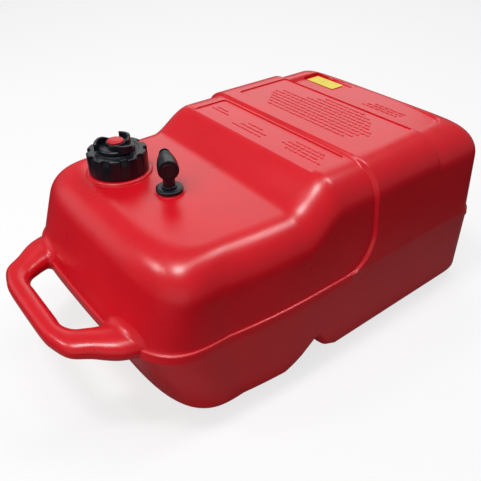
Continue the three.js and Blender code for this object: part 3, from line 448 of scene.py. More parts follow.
def side_column(x, skin, place_at):
    """Column of a side, whose levels stand at the places along the tank that place_at(level, z) gives."""
    column = []
    rim = RIM_RISE * terrace_share(x)
    for level, (inset, z) in enumerate(side_profile(x, LEDGE * (1 - block_share(x)), skin, rim)):
        place = place_at(level, z)
        column.append((place, inset - half_width_at(place), z))
    return column, rim


def front_corner(skin):
    """Columns of the near front corner, from the middle of the front wall to the side."""
    front = wall_profile(FRONT_FOOT, FRONT_LEAN, LEDGE, FRONT_CREST_ROUND, 0, DECK, skin)
    side = side_profile(FRONT_X + FRONT_REACHES[1], LEDGE, skin, 0)
    columns = []
    for i in range(CORNER_STEPS + 1):
        angle = math.pi / 2 * i / CORNER_STEPS
        column = []
        for (inset, z), (side_inset, side_z) in zip(front, side):
            reach = at_level(z, DECK, FRONT_REACHES)
            bulge = 2 / at_level(z, DECK, FRONT_POWERS)
            middle = FRONT_X + inset + reach
            x = middle - reach * max(0.0, math.cos(angle)) ** bulge
            y = -(half_width_at(middle) - side_inset) * math.sin(angle) ** bulge
            column.append((x, y, lerp(z, side_z, math.sin(angle) ** 2)))
        columns.append((column, 0.0))
    return columns


def rear_corner(skin):
    """Columns of the near rear corner, from the side to the middle of the rear wall."""
    rear = wall_profile(REAR_FOOT, REAR_LEAN, REAR_LEDGE, REAR_CREST_ROUND, 0, TERRACE_TOP, skin)
    columns = []
    for i in range(CORNER_STEPS + 1):
        angle = math.pi / 2 * i / CORNER_STEPS
        blend = math.sin(angle) ** 2
        side = side_profile(REAR_X - REAR_REACHES[1], REAR_LEDGE * blend, skin, RIM_RISE)
        column = []
        for (inset, z), (side_inset, side_z) in zip(rear, side):
            reach = at_level(z, TERRACE_TOP, REAR_REACHES)
            bulge = 2 / REAR_POWER
            x = REAR_X - inset - reach * (1 - math.sin(angle) ** bulge)
            y = -(HALF_WIDTH - side_inset) * max(0.0, math.cos(angle)) ** bulge
            column.append((x, y, lerp(side_z, z, blend)))
        columns.append((column, RIM_RISE * (1 - blend)))
    return columns


def body_columns(skin):
    """Columns of points round the near half, from the front to the rear, each with its rim height."""
    front, rear = front_corner(skin), rear_corner(skin)
    columns = list(front)
    for i in range(1, FRONT_COLUMNS):
        share = i / FRONT_COLUMNS
        nominal = FRONT_X + lerp(FRONT_REACHES[1], CHANNEL_START, share)
        place_at = lambda level, z: lerp(front[-1][0][level][0], FRONT_X + CHANNEL_START, share)
        columns.append(side_column(nominal, skin, place_at))
    for x in station_places():
        columns.append(side_column(x, skin, lambda level, z: x - ridge_sweep_at(z) * sweep_weight(x)))
    start = FRONT_X + TERRACE + TERRACE_STEP
    for i in range(1, REAR_COLUMNS):
        share = i / REAR_COLUMNS
        nominal = lerp(start, REAR_X - REAR_REACHES[1], share)
        place_at = lambda level, z: lerp(start, rear[0][0][level][0], share)
        columns.append(side_column(nominal, skin, place_at))
    return columns + rear


# %% Closed skin of the body
LID_DISTANCES = [0, 1.5, 3, 4.5, 6, 7.5, 9, 10.5, 12, 15, 20, 28, 40, 55, 72, 90, 110, 130]
RIM_FLAT, RIM_FALL = 4.0, 8.0


def body_skin(name, skin):
    """Closed body: the near columns, their mirror, and a grid of rows over the deck and the floor."""
    columns = body_columns(skin)
    near = [column for column, rim in columns]
    far = [[(x, -y, z) for x, y, z in column] for column in near[-2:0:-1]]
    loop, levels, last = near + far, len(near[0]), len(near) - 1
    total = len(loop)
    points = [point for column in loop for point in column]
    faces = []
    for i in range(total):
        n = (i + 1) % total
        for j in range(levels - 1):
            faces.append([i * levels + j, n * levels + j, n * levels + j + 1, i * levels + j + 1])
    half = [distance / LID_DISTANCES[-1] for distance in LID_DISTANCES]
    shares = [share / 2 for share in half] + [1 - share / 2 for share in half[-2::-1]]
    for level, up in ((0, False), (levels - 1, True)):
        rows = []
        for i, (column, rim) in enumerate(columns):
            x, y, z = column[level]
            if i in (0, last):
                rows.append([i * levels + level] * len(shares))
                continue
            row = [i * levels + level]
            for share in shares[1:-1]:
                distance = min(share, 1 - share) * 2 * LID_DISTANCES[-1]
                fall = rim * smoothstep(distance, RIM_FLAT, RIM_FLAT + RIM_FALL) if up else 0.0
                row.append(len(points))
                points.append((x, y * (1 - 2 * share), z - fall))
            row.append((total - i) * levels + level)
            rows.append(row)
        for low, high in zip(rows, rows[1:]):
            for k in range(len(shares) - 1):
                corners = [low[k], high[k], high[k + 1], low[k + 1]]
                face = list(dict.fromkeys(corners))
                faces.append(face if up else face[::-1])
    return make_object(name, points, faces)


tank = body_skin("tank_moulding", 0)
inner_body = body_skin("inner_body", WALL)
print(f"tank body: {len(tank.data.polygons)} faces, inner skin: {len(inner_body.data.polygons)} faces")

# %% [markdown]
# ## Handle
# The handle is a hollow loop that was moulded with the body, so it flows into the wall with a
# fillet. A boolean join alone would leave a crease. So a slightly smaller copy of both is joined
# round each root, turned into small even faces, and relaxed near the crease: each point moves
# towards the middle of its neighbours, many times over. That fills the corner, like a soap film.
# %% Handle loop
HANDLE_THICKNESS, HANDLE_ROOT_THICKNESS = 20.0, 27.0
HANDLE_ROOT_SINK, HANDLE_DROP, HANDLE_POWER = 0.6, 2.0, 2.3
HANDLE_INNER_SHARES = [
    (-0.6, 0.415), (0, 0.397), (0.291, 0.361), (0.474, 0.321), (0.583, 0.25), (0.583, 0.161), (0.583, 0),
]
HANDLE_OUTER_SHARES = [
    (-0.8, 0.76), (0, 0.694), (0.485, 0.569), (0.798, 0.4875), (0.944, 0.357), (0.992, 0.25), (1, 0),
]
HANDLE_ROOT_SHARES = [1, 0.7, 0.25, 0, 0, 0, 0]
HANDLE_STEPS, HANDLE_SIDES = 60, 48


def handle_station(share):
    """Inner and outer plan point of half the handle, and how much of a root it is there."""
    inner, outer = spline(HANDLE_INNER_SHARES, share), spline(HANDLE_OUTER_SHARES, share)
    root = max(0.0, spline([(0, s) for s in HANDLE_ROOT_SHARES], share).y)
    places = [Vector((FRONT_X - p.x * HANDLE_REACH, p.y * HALF_WIDTH)) for p in (inner, outer)]
    return places[0], places[1], root


def handle_loop(name, skin):
    """Closed handle from one root to the other, drawn in by a skin."""
    half = [handle_station(i / HANDLE_STEPS) for i in range(HANDLE_STEPS + 1)]
    mirror = [(Vector((a.x, -a.y)), Vector((b.x, -b.y)), root) for a, b, root in half[-2::-1]]
    rings = []
    for a, b, root in half + mirror:
        middle, across = (a + b) / 2, b - a
        reach = across.length / 2 - skin
        across.normalize()
        extra = root * (HANDLE_ROOT_THICKNESS - HANDLE_THICKNESS)
        height = (HANDLE_THICKNESS + extra) / 2 - skin
        level = SEAM - HANDLE_DROP - HANDLE_ROOT_SINK * extra / 2
        ring = []
        for k in range(HANDLE_SIDES):
            angle = 2 * math.pi * k / HANDLE_SIDES
            c, s = math.cos(angle), math.sin(angle)
            u = math.copysign(abs(c) ** (2 / HANDLE_POWER), c)
            v = math.copysign(abs(s) ** (2 / HANDLE_POWER), s)
            x = middle.x + across.x * u * reach
            y = middle.y + across.y * u * reach
            ring.append((x, y, level + v * height))
        rings.append(ring)
    return drawn_out(name, [ring[::-1] for ring in rings])


combine(tank, handle_loop("handle", 0), "UNION")

# %% Fillets at the roots of the handle
FILLET_SKIN, FILLET_FACE, FILLET_ROUNDS, FILLET_CORE = 0.4, 1.8, 240, 0.3
WALL_REACHES, HANDLE_REACHES, FILLET_SIDE = (9, 34), (8, 18), (72, 108)
ROOT_BOX = ((FRONT_X - 40, 38, 34), (FRONT_X + 74, 158, 174))

fillets = body_skin("handle_fillets", FILLET_SKIN)
core = handle_loop("handle_core", FILLET_SKIN)
bpy.context.view_layer.update()
skins = [BVHTree.FromObject(piece, bpy.context.evaluated_depsgraph_get()) for piece in (fillets, core)]
combine(fillets, core, "UNION")
(x0, y0, z0), (x1, y1, z1) = ROOT_BOX
boxes = [prism("root_box", [(x0, a), (x1, a), (x1, b), (x0, b)], z0, z1) for a, b in ((y0, y1), (-y1, -y0))]
combine(boxes[0], boxes[1], "UNION")
combine(fillets, boxes[0], "INTERSECT")
step = fillets.modifiers.new("even_faces", "REMESH")
step.mode, step.voxel_size = "VOXEL", FILLET_FACE * MM
apply_modifiers(fillets)
crease = fillets.vertex_groups.new(name="crease")
for vertex in fillets.data.vertices:
    outer = smoothstep(abs(vertex.co.y) / MM, *FILLET_SIDE)
    weight = 1
    for tree, reaches in zip(skins, (HANDLE_REACHES, WALL_REACHES)):
        reach = lerp(*reaches, outer)
        weight *= 1 - smoothstep(tree.find_nearest(vertex.co)[3] / MM, FILLET_CORE * reach, reach)
    crease.add([vertex.index], weight, "REPLACE")
step = fillets.modifiers.new("relax", "SMOOTH")
step.factor, step.iterations, step.vertex_group = 0.5, FILLET_ROUNDS, "crease"
apply_modifiers(fillets)
combine(tank, fillets, "UNION")
combine(inner_body, handle_loop("inner_handle", WALL), "UNION")
combine(tank, inner_body, "DIFFERENCE")
print("tank with its handle and its hollow:", len(tank.data.polygons), "faces")

# %% [markdown]
# ## Neck, boss and threads
# The filler neck stands on a round shoulder, and carries a coarse thread for the cap. The pick-up
# sits on a low boss. Both are turned pieces that are joined to the body, then bored.
# %% Neck and boss
cap_low, cap_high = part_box("filler_cap")
bush_low, bush_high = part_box("pickup_bush")
FILLER = ((cap_low.x + cap_high.x) / 2 / MM, (cap_low.y + cap_high.y) / 2 / MM, 0)
PICKUP = ((bush_low.x + bush_high.x) / 2 / MM, (bush_low.y + bush_high.y) / 2 / MM, 0)
SHOULDER_RADIUS, SHOULDER_HEIGHT = 38.5, 3.0
NECK_RADIUS, NECK_WALL, NECK_HEIGHT = 26.4, 3.4, 21.2
THREAD_PITCH, THREAD_DEPTH, THREAD_ROOT, THREAD_CREST = 6.0, 2.4, 2.6, 1.4
NECK_THREAD_TURNS, NECK_THREAD_DROP = 1.35, 2.6
BUSH_RADIUS, BUSH_THREAD_DEPTH, BUSH_THREAD_GAP = 10.5, 1.1, 0.5
BUSH_PITCH, BUSH_THREAD_ROOT, BUSH_THREAD_CREST, BUSH_THREAD_TURNS = 3.0, 1.3, 0.7, 2.2
BUSH_HOLE = BUSH_RADIUS + BUSH_THREAD_DEPTH + BUSH_THREAD_GAP
BUSH_FLANGE_RADIUS = (bush_high.x - bush_low.x) / 2 / MM
BOSS_MARGIN, BOSS_HEIGHT, COLLAR_WALL, COLLAR_DEPTH = 1.8, 1.2, 3.6, 15.0
GAP, OVERRUN = 0.3, 2.0
ROUND_SIDES = 128
THREAD_STEPS, THREAD_FADE, THREAD_FADED = 48, 10, 0.1
NECK_TOP = DECK + NECK_HEIGHT
NECK_THREAD_BOTTOM = NECK_TOP - NECK_THREAD_DROP - THREAD_ROOT - NECK_THREAD_TURNS * THREAD_PITCH


def thread(name, radius, depth, root, crest, pitch, turns, bottom, place):
    """Helical ridge with faded ends, outwards, or inwards where the depth is negative."""
    steps = round(turns * THREAD_STEPS)
    rings = []
    for i in range(steps + 1):
        share = i / steps
        angle = 2 * math.pi * turns * share
        rise = depth * lerp(THREAD_FADED, 1, min(1, i / THREAD_FADE, (steps - i) / THREAD_FADE))
        middle = bottom + root / 2 + pitch * turns * share
        buried = math.copysign(GAP, depth)
        section = [
            (radius - buried, -root / 2), (radius + rise, -crest / 2),
            (radius + rise, crest / 2), (radius - buried, root / 2),
        ]
        c, s = math.cos(angle), math.sin(angle)
        ring = [(place[0] + r * c, place[1] + r * s, middle + z) for r, z in section]
        rings.append(ring if depth > 0 else ring[::-1])
    return drawn_out(name, [ring[::-1] for ring in rings])


root = DECK - WALL / 2
neck = rounded([
    (0, root, 0), (SHOULDER_RADIUS + 0.8, root, 0), (SHOULDER_RADIUS + 0.8, DECK - 0.6, 0),
    (SHOULDER_RADIUS, DECK + 0.6, 0.6),
    (SHOULDER_RADIUS - 0.2, DECK + 1.5, 0.8), (SHOULDER_RADIUS - 1.0, DECK + 2.3, 0.7),
    (SHOULDER_RADIUS - 2.8, DECK + SHOULDER_HEIGHT, 0.9), (NECK_RADIUS, DECK + SHOULDER_HEIGHT, 1.2),
    (NECK_RADIUS, NECK_TOP, 0.8), (0, NECK_TOP, 0),
])
combine(tank, turned("neck", neck, ROUND_SIDES, place=FILLER), "UNION")
neck_thread = thread(
    "neck_thread", NECK_RADIUS, THREAD_DEPTH, THREAD_ROOT, THREAD_CREST, THREAD_PITCH,
    NECK_THREAD_TURNS, NECK_THREAD_BOTTOM, FILLER,
)
combine(tank, neck_thread, "UNION")
collar = BUSH_HOLE + COLLAR_WALL
boss_radius = BUSH_FLANGE_RADIUS + BOSS_MARGIN
boss = rounded([
    (0, DECK - COLLAR_DEPTH, 0), (collar, DECK - COLLAR_DEPTH, 0.8), (collar, root, 0),
    (boss_radius + 0.6, root, 0), (boss_radius + 0.6, DECK - 0.5, 0), (boss_radius, DECK + 0.4, 0.3),
    (boss_radius, DECK + BOSS_HEIGHT, 0.5), (0, DECK + BOSS_HEIGHT, 0),
])
combine(tank, turned("boss", boss, ROUND_SIDES, place=PICKUP), "UNION")


def bore(radius, bottom, top, place):
    """Plain drill for a hole in the tank."""
    return turned("bore", [(0, bottom), (radius, bottom), (radius, top), (0, top)], ROUND_SIDES, place=place)


combine(tank, bore(NECK_RADIUS - NECK_WALL, DECK - WALL - OVERRUN, NECK_TOP + OVERRUN, FILLER), "DIFFERENCE")
bush_bore = bore(BUSH_HOLE, DECK - COLLAR_DEPTH - OVERRUN, DECK + BOSS_HEIGHT + OVERRUN, PICKUP)
combine(tank, bush_bore, "DIFFERENCE")
boss_thread = thread(
    "boss_thread", BUSH_HOLE, -BUSH_THREAD_DEPTH, BUSH_THREAD_ROOT, BUSH_THREAD_CREST,
    BUSH_PITCH, BUSH_THREAD_TURNS,
    DECK - COLLAR_DEPTH + BUSH_THREAD_ROOT + (BUSH_THREAD_ROOT + BUSH_THREAD_CREST) / 2 + GAP, PICKUP,
)
combine(tank, boss_thread, "UNION")
print("neck and boss joined:", len(tank.data.polygons), "faces")

# %% [markdown]
# ## Panels and raised marks
# The plateau and the block have shallow panels, and the terrace a raised rim along both sides. Rows
# of plain raised bars stand on them, like the tread of a step, and catch the light in fine lines.
# The label lies in a pocket that reaches under the rim, where the inner skin is higher. A plate is
# joined behind it first, so that the pocket has a floor.
# %% Panels of the top
plate_low, plate_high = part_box("info_plate")
PANEL_DEPTH, PANEL_ROUND, PANEL_STEPS = 1.3, 5.0, 6
BLOCK_TOP = PLATEAU + BLOCK_RISE
PLATE_X, PLATE_Y = ((plate_low + plate_high) / 2 / MM)[:2]
# Start and end along the tank, from the ridge or the terrace edge, then the two sides
PLATEAU_PANEL = (-70.0, -4.8, -110, 108.8)
BLOCK_PANEL = (21.0, -3.2, -114.5, 111.7)
POCKET_DEPTH, POCKET_ROUND, BACKING_ROUND, CUTTER_HEIGHT = 1.0, 2.5, 4.0, 30.0
POCKET_MARGINS = (3.5, 14.0, 4.5, 5.0)


def panel_outline(x0, x1, y0, y1, radius):
    """Rectangle with round corners, anticlockwise."""
    outline = []
    left, right, low, high = x0 + radius, x1 - radius, y0 + radius, y1 - radius
    for i, (x, y) in enumerate([(right, high), (left, high), (left, low), (right, low)]):
        for k in range(PANEL_STEPS + 1):
            angle = math.pi / 2 * (i + k / PANEL_STEPS)
            outline.append((x + radius * math.cos(angle), y + radius * math.sin(angle)))
    return outline


def cut_panel(x0, x1, y0, y1, top, depth, radius):
    """Shallow pocket in the top of the tank."""
    outline = panel_outline(x0, x1, y0, y1, radius)
    combine(tank, prism("pocket", outline, top - depth, top + CUTTER_HEIGHT), "DIFFERENCE")


ridge_x, terrace_x = FRONT_X + RIDGE, FRONT_X + TERRACE
for front_edge, rear_edge, panel, top in (
    (ridge_x, ridge_x, PLATEAU_PANEL, PLATEAU), (ridge_x, terrace_x, BLOCK_PANEL, BLOCK_TOP),
):
    cut_panel(front_edge + panel[0], rear_edge + panel[1], *panel[2:], top, PANEL_DEPTH, PANEL_ROUND)
half_plate = ((plate_high - plate_low) / 2 / MM)[:2]
pocket_sides = (
    PLATE_X - half_plate[0] - POCKET_MARGINS[0], PLATE_X + half_plate[0] + POCKET_MARGINS[2],
    PLATE_Y - half_plate[1] - POCKET_MARGINS[1], PLATE_Y + half_plate[1] + POCKET_MARGINS[3],
)
x0, x1, y0, y1 = (side + WALL * way for side, way in zip(pocket_sides, (-1, 1, -1, 1)))
backing_outline = panel_outline(x0, x1, y0, y1, BACKING_ROUND)
backing = prism("label_backing", backing_outline, TERRACE_TOP - WALL, TERRACE_TOP + RIM_RISE)
combine(backing, body_skin("outer_limit", GAP), "INTERSECT")
combine(tank, backing, "UNION")
cut_panel(*pocket_sides, TERRACE_TOP, POCKET_DEPTH, POCKET_ROUND)
print("panels cut:", len(tank.data.polygons), "faces")

# %% Raised bars in the panels
MARK_HEIGHT, MARK_WIDTH, MARK_GAP, MARK_EDGE, MARK_SINK = 0.75, 2.2, 2.4, 0.45, 0.4
MARK_LENGTHS = (4.0, 7.0, 11.0)
BLOCK_ROWS = [
    (60, -78), (66, -86), (72, -92), (78, -96), (84, -92),
    (86, -88), (80, -80), (40, -74), (28, -66), (20, -60),
]
SQUARE = ((-1, -1), (1, -1), (1, 1), (-1, 1))
MARK_SEED = 11
draw = random.Random(MARK_SEED)


def mark(x, y, length, base):
    """Points and faces of one low bar with chamfered edges."""
    half_x, half_y, edge = MARK_WIDTH / 2, length / 2, MARK_EDGE
    rings = [
        (half_x, half_y, base - MARK_SINK), (half_x, half_y, base + MARK_HEIGHT - edge),
        (half_x - edge, half_y - edge, base + MARK_HEIGHT),
    ]
    points = [(x + u * a, y + v * b, z) for a, b, z in rings for u, v in SQUARE]
    faces = [[3, 2, 1, 0], [8, 9, 10, 11]]
    for i in (0, 4):
        faces += [[i + k, i + (k + 1) % 4, i + 4 + (k + 1) % 4, i + 4 + k] for k in range(4)]
    return points, faces


def mark_rows(rows, spacing, first_x, base):
    """Rows of bars, each from a start to an end across the tank."""
    points, faces = [], []
    for i, (start, end) in enumerate(rows):
        y = start
        while True:
            length = draw.choice(MARK_LENGTHS)
            if y - length < end:
                break
            new_points, new_faces = mark(first_x + i * spacing, y - length / 2, length, base)
            faces += [[k + len(points) for k in face] for face in new_faces]
            points += new_points
            y -= length + MARK_GAP
    return points, faces


# Each field: its rows, their spacing, the place of the first row and the height they stand on
fields = [
    mark_rows(BLOCK_ROWS, 7.4, ridge_x + 30, BLOCK_TOP - PANEL_DEPTH),
    mark_rows([(-48, -104), (-36, -100), (-40, -102), (-46, -98)], 6.4, ridge_x - 37, PLATEAU - PANEL_DEPTH),
    mark_rows([(100, 66), (96, 70)], 6.2, ridge_x - 32, PLATEAU - PANEL_DEPTH),
    mark_rows([(44, -12), (36, -18), (30, -8)], 7.2, ridge_x - 42, PLATEAU - PANEL_DEPTH),
    mark_rows([(-8, -66), (-12, -74), (-20, -70)], 6.2, terrace_x + 30, TERRACE_TOP),
]
for number, (points, faces) in enumerate(fields):
    combine(tank, make_object(f"marks_{number}", points, faces), "UNION")
print("raised bars joined:", len(tank.data.polygons), "faces")
hand_over(tank, "tank", "red_polyethylene", "tank_shell")

# %% [markdown]
# ## Filler cap
# The cap is an injection-moulded ring of ten grips round a flat plate. A wave in the radius, as a
# function of the angle, makes the grips and the faint flutes below them in one turned mesh. The cap
# is hollow, with its thread and the boss of the vent screw inside.
# %% Filler cap
CAP_RADIUS, CAP_RIM, LUGS, LUG_SHARE, LUG_DEPTH, LUG_TURN = 34.4, 5.5, 10, 0.5, 3.8, 0.4
CAP_BOTTOM, CAP_TOP = cap_low.z / MM, cap_high.z / MM
CAP_PLATE, CAP_THREAD_TURNS, THREAD_GAP, CAP_SIDES = 3.6, 1.1, 0.6, 480
CAP_GROOVE = ((25.6, 0), (25.2, 0.7), (23.2, 0.7), (22.8, 0))
VENT_SHAFT, VENT_THREAD_DEPTH, VENT_THREAD_GAP, VENT_PITCH = 4.0, 1.2, 0.5, 3.0
VENT_THREAD_ROOT, VENT_THREAD_CREST, VENT_THREAD_TURNS = 1.2, 0.7, 1.6
BOSS_WALL, BOSS_DEPTH, SEAL_SECTION, SEAL_MARGIN = 1.6, 9.0, 1.2, 1.2
VENT_BORE = VENT_SHAFT + VENT_THREAD_DEPTH + VENT_THREAD_GAP
SEAL_SEAT_RADIUS = VENT_BORE + 2 * SEAL_SECTION + GAP + SEAL_MARGIN
SEAL_SEAT = CAP_TOP - 2 * SEAL_SECTION - GAP
VENT_BOSS_RADIUS = SEAL_SEAT_RADIUS + BOSS_WALL
CAP_INNER = NECK_RADIUS + THREAD_DEPTH + THREAD_GAP
PLATE_BOTTOM = CAP_TOP - CAP_PLATE
BOSS_BOTTOM = PLATE_BOTTOM - BOSS_DEPTH


def between_lugs(angle):
    """0 on a grip of the cap and 1 between two of them, with short flanks."""
    phase = ((angle + LUG_TURN) * LUGS / (2 * math.pi)) % 1
    flank = LUG_DEPTH / CAP_RADIUS / 2 * LUGS / (2 * math.pi)
    return smoothstep(phase, LUG_SHARE, LUG_SHARE + flank) - smoothstep(phase, 1 - flank, 1)


shelf = CAP_TOP - CAP_RIM
# Each corner: radius, height, rounding, and how deep the gaps between the grips are at that height
outer_cap = rounded([
    (CAP_RADIUS, CAP_BOTTOM, 0.9), (CAP_RADIUS, CAP_BOTTOM + 2.2, 0, 0),
    (CAP_RADIUS, lerp(CAP_BOTTOM, shelf, 0.5), 0, 0.8), (CAP_RADIUS, shelf - 3.0, 0, 1.5),
    (CAP_RADIUS, shelf - 1.0, 0, 2.1), (CAP_RADIUS, shelf + 1.0, 0, 2.9),
    (CAP_RADIUS, shelf + 2.6, 0, LUG_DEPTH), (CAP_RADIUS, CAP_TOP - 1.5, 0, LUG_DEPTH),
    (CAP_RADIUS - 0.35, CAP_TOP - 0.75, 0, LUG_DEPTH), (CAP_RADIUS - 0.9, CAP_TOP - 0.2, 0, LUG_DEPTH),
    (CAP_RADIUS - 1.6, CAP_TOP, 0, LUG_DEPTH), (CAP_RADIUS - 5.2, CAP_TOP, 0, 0),
])
inner_cap = rounded([
    *((radius, CAP_TOP - depth, 0.3) for radius, depth in CAP_GROOVE),
    (SEAL_SEAT_RADIUS, CAP_TOP, 0), (SEAL_SEAT_RADIUS, SEAL_SEAT, 0),
    (VENT_BORE, SEAL_SEAT, 0), (VENT_BORE, BOSS_BOTTOM, 0),
    (VENT_BOSS_RADIUS, BOSS_BOTTOM, 0.4), (VENT_BOSS_RADIUS, PLATE_BOTTOM, 0),
    (CAP_INNER, PLATE_BOTTOM, 0), (CAP_INNER, CAP_BOTTOM, 0.4),
])
cap = turned("cap_moulding", outer_cap + inner_cap, CAP_SIDES, wave=between_lugs, place=FILLER)
cap_thread = thread(
    "cap_thread", CAP_INNER, -THREAD_DEPTH, THREAD_ROOT, THREAD_CREST, THREAD_PITCH, CAP_THREAD_TURNS,
    NECK_THREAD_BOTTOM - (THREAD_ROOT + THREAD_CREST) / 2 - GAP, FILLER,
)
combine(cap, cap_thread, "UNION")
vent_thread = thread(
    "vent_thread", VENT_BORE, -VENT_THREAD_DEPTH, VENT_THREAD_ROOT, VENT_THREAD_CREST, VENT_PITCH,
    VENT_THREAD_TURNS, BOSS_BOTTOM + VENT_THREAD_ROOT, FILLER,
)
combine(cap, vent_thread, "UNION")
hand_over(cap, "cap", "black_moulding", "filler_cap")

# %% [markdown]
# ## Vent knob and its badge
# The knob has a round base, a hub and three wings that curl out of the hub like the blades of a
# pump. Each wing is drawn out along its curl, thinner and lower towards its round tip. A domed red
# insert closes the hub.
# %% Vent knob
knob_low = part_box("vent_knob")[0]
badge_low, badge_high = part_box("vent_badge")
KNOB_BOTTOM = knob_low.z / MM
KNOB_RADIUS, KNOB_BASE, HUB_HEIGHT, WING_HEIGHT = 21.5, 5.0, 9.0, 13.5
WING_END, WING_THICKNESS, WING_TIP_SHARE, WING_CURL = 23.6, 4.8, 0.75, 1.5
WING_SWEEP, WING_TURN, WINGS = 85.0, 53.0, 3
WING_SLOPE_SHARES = (0.66, 0.88, 0.68)
WING_TIP_REACH, WING_TIP_START = 0.05, 0.12
BADGE_RADIUS, BADGE_WALL, BADGE_THICKNESS, BADGE_RISE = 9.4, 1.3, 1.6, 1.0
HUB_RADIUS = BADGE_RADIUS + GAP + BADGE_WALL
SOCKET_DEPTH = 4.4


def wing_top(radius):
    """Height of a wing at a distance from the axis, highest before the tip."""
    tip, middle, root = (KNOB_BOTTOM + WING_HEIGHT * share for share in WING_SLOPE_SHARES)
    turn, reach = WING_END - WING_THICKNESS, WING_END + WING_THICKNESS
    if radius > turn:
        return lerp(middle, tip, min(1.0, (radius - turn) / (reach - turn)))
    share = max(0.0, (radius - HUB_RADIUS) / (turn - HUB_RADIUS))
    return lerp(root, middle, smoothstep(share, 0.1, 0.9))


def wing(turn, steps=36):
    """One wing of the knob."""
    rings = []
    for i in range(steps + 1):
        share = i / steps
        angle = turn - math.radians(WING_SWEEP) * share
        radius = lerp(WING_END, HUB_RADIUS - 1, share**WING_CURL)
        tip = 1.0
        if share < WING_TIP_REACH:
            tip = math.sqrt(1 - (1 - min(1.0, WING_TIP_START + share / WING_TIP_REACH)) ** 2)
        half = WING_THICKNESS / 2 * lerp(WING_TIP_SHARE, 1, share) * tip
        edge, top, bottom = 0.55 * half, wing_top(radius), KNOB_BOTTOM + KNOB_BASE / 2
        section = [
            (half, bottom), (half, top - edge), (half - 0.3 * edge, top - 0.3 * edge), (half - edge, top),
            (edge - half, top), (0.3 * edge - half, top - 0.3 * edge), (-half, top - edge), (-half, bottom),
        ]
        c, s = math.cos(angle), math.sin(angle)
        rings.append([(FILLER[0] + (radius + r) * c, FILLER[1] + (radius + r) * s, z) for r, z in section])
    return drawn_out("wing", rings)


hub_top, shoulder = KNOB_BOTTOM + HUB_HEIGHT, KNOB_BOTTOM + KNOB_BASE
knob_profile = rounded([
    (0, KNOB_BOTTOM, 0), (KNOB_RADIUS, KNOB_BOTTOM, 0.6), (KNOB_RADIUS, shoulder - 1.2, 1.1),
    (KNOB_RADIUS - 2.0, shoulder, 1.2),
    (HUB_RADIUS, shoulder, 2.2), (HUB_RADIUS, hub_top, 0.6), (BADGE_RADIUS + GAP, hub_top, 0.2),
    (BADGE_RADIUS + GAP, hub_top - BADGE_THICKNESS, 0), (0, hub_top - BADGE_THICKNESS, 0),
])
knob = turned("winged_vent_knob", knob_profile, ROUND_SIDES, place=FILLER)
for number in range(WINGS):
    combine(knob, wing(math.radians(WING_TURN) + 2 * math.pi * number / WINGS), "UNION")
socket = math.sqrt(2) * VENT_SHAFT / 2
square = [(FILLER[0] + u * socket, FILLER[1] + v * socket) for u, v in SQUARE]
combine(knob, prism("socket", square, KNOB_BOTTOM - OVERRUN, KNOB_BOTTOM + SOCKET_DEPTH), "DIFFERENCE")
badge_seat = bore(
    BADGE_RADIUS + GAP, hub_top - BADGE_THICKNESS, KNOB_BOTTOM + WING_HEIGHT + OVERRUN, FILLER,
)
combine(knob, badge_seat, "DIFFERENCE")
hand_over(knob, "vent", "black_moulding", "vent_knob")

# %% Red badge of the knob
badge_bottom, badge_top = badge_low.z / MM, badge_high.z / MM + BADGE_RISE
badge_edge = badge_bottom + BADGE_THICKNESS + BADGE_RISE
DOME_STEPS = 18
dome = [(0, badge_bottom), (BADGE_RADIUS, badge_bottom)]
for i in range(DOME_STEPS + 1):
    angle = math.pi / 2 * i / DOME_STEPS
    dome_radius = BADGE_RADIUS * math.cos(angle) if i < DOME_STEPS else 0
    dome.append((dome_radius, badge_edge + (badge_top - badge_edge) * math.sin(angle)))
hand_over(turned("knob_badge", dome, ROUND_SIDES, place=FILLER), "vent", "red_badge", "vent_badge")

# %% [markdown]
# ## Pick-up
# A screwed bush with a wide flange carries an elbow that turns on it. The elbow's barrel lies
# level, closed by a ringed plug at one end, with a hose nipple at the other. Its pieces are turned,
# and the barrel's are then laid on their side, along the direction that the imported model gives.
# %% Bush and its gasket
BUSH_TOP, BUSH_END = bush_high.z / MM, bush_low.z / MM
gasket_low, gasket_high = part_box("pickup_gasket")
BUSH_FLANGE, BUSH_WALL, STEM_RADIUS = 3.0, 1.9, 6.75
STEM_TAIL, STEM_GROOVE, ADAPTER_PLUG = 3.4, 1.4, 7.0
COUNTERBORE = BUSH_RADIUS - BUSH_WALL
STEM_END = BUSH_END + ADAPTER_PLUG + 2 * GAP
COUNTERBORE_TOP = STEM_END + STEM_TAIL
bush_profile = rounded([
    (STEM_RADIUS + GAP, COUNTERBORE_TOP, 0), (COUNTERBORE, COUNTERBORE_TOP, 0), (COUNTERBORE, BUSH_END, 0),
    (BUSH_RADIUS, BUSH_END, 0.4), (BUSH_RADIUS, BUSH_TOP - BUSH_FLANGE, 0),
    (BUSH_FLANGE_RADIUS, BUSH_TOP - BUSH_FLANGE, 0.5), (BUSH_FLANGE_RADIUS, BUSH_TOP - 0.9, 0.9),
    (BUSH_FLANGE_RADIUS - 3.4, BUSH_TOP, 1.2), (STEM_RADIUS + GAP, BUSH_TOP, 0.3),
])
bush = turned("flanged_bush", bush_profile, ROUND_SIDES, place=PICKUP)
bush_thread = thread(
    "bush_thread", BUSH_RADIUS, BUSH_THREAD_DEPTH, BUSH_THREAD_ROOT, BUSH_THREAD_CREST,
    BUSH_PITCH, BUSH_THREAD_TURNS, BUSH_END + BUSH_THREAD_ROOT, PICKUP,
)
combine(bush, bush_thread, "UNION")
hand_over(bush, "tank", "black_moulding", "pickup_bush")
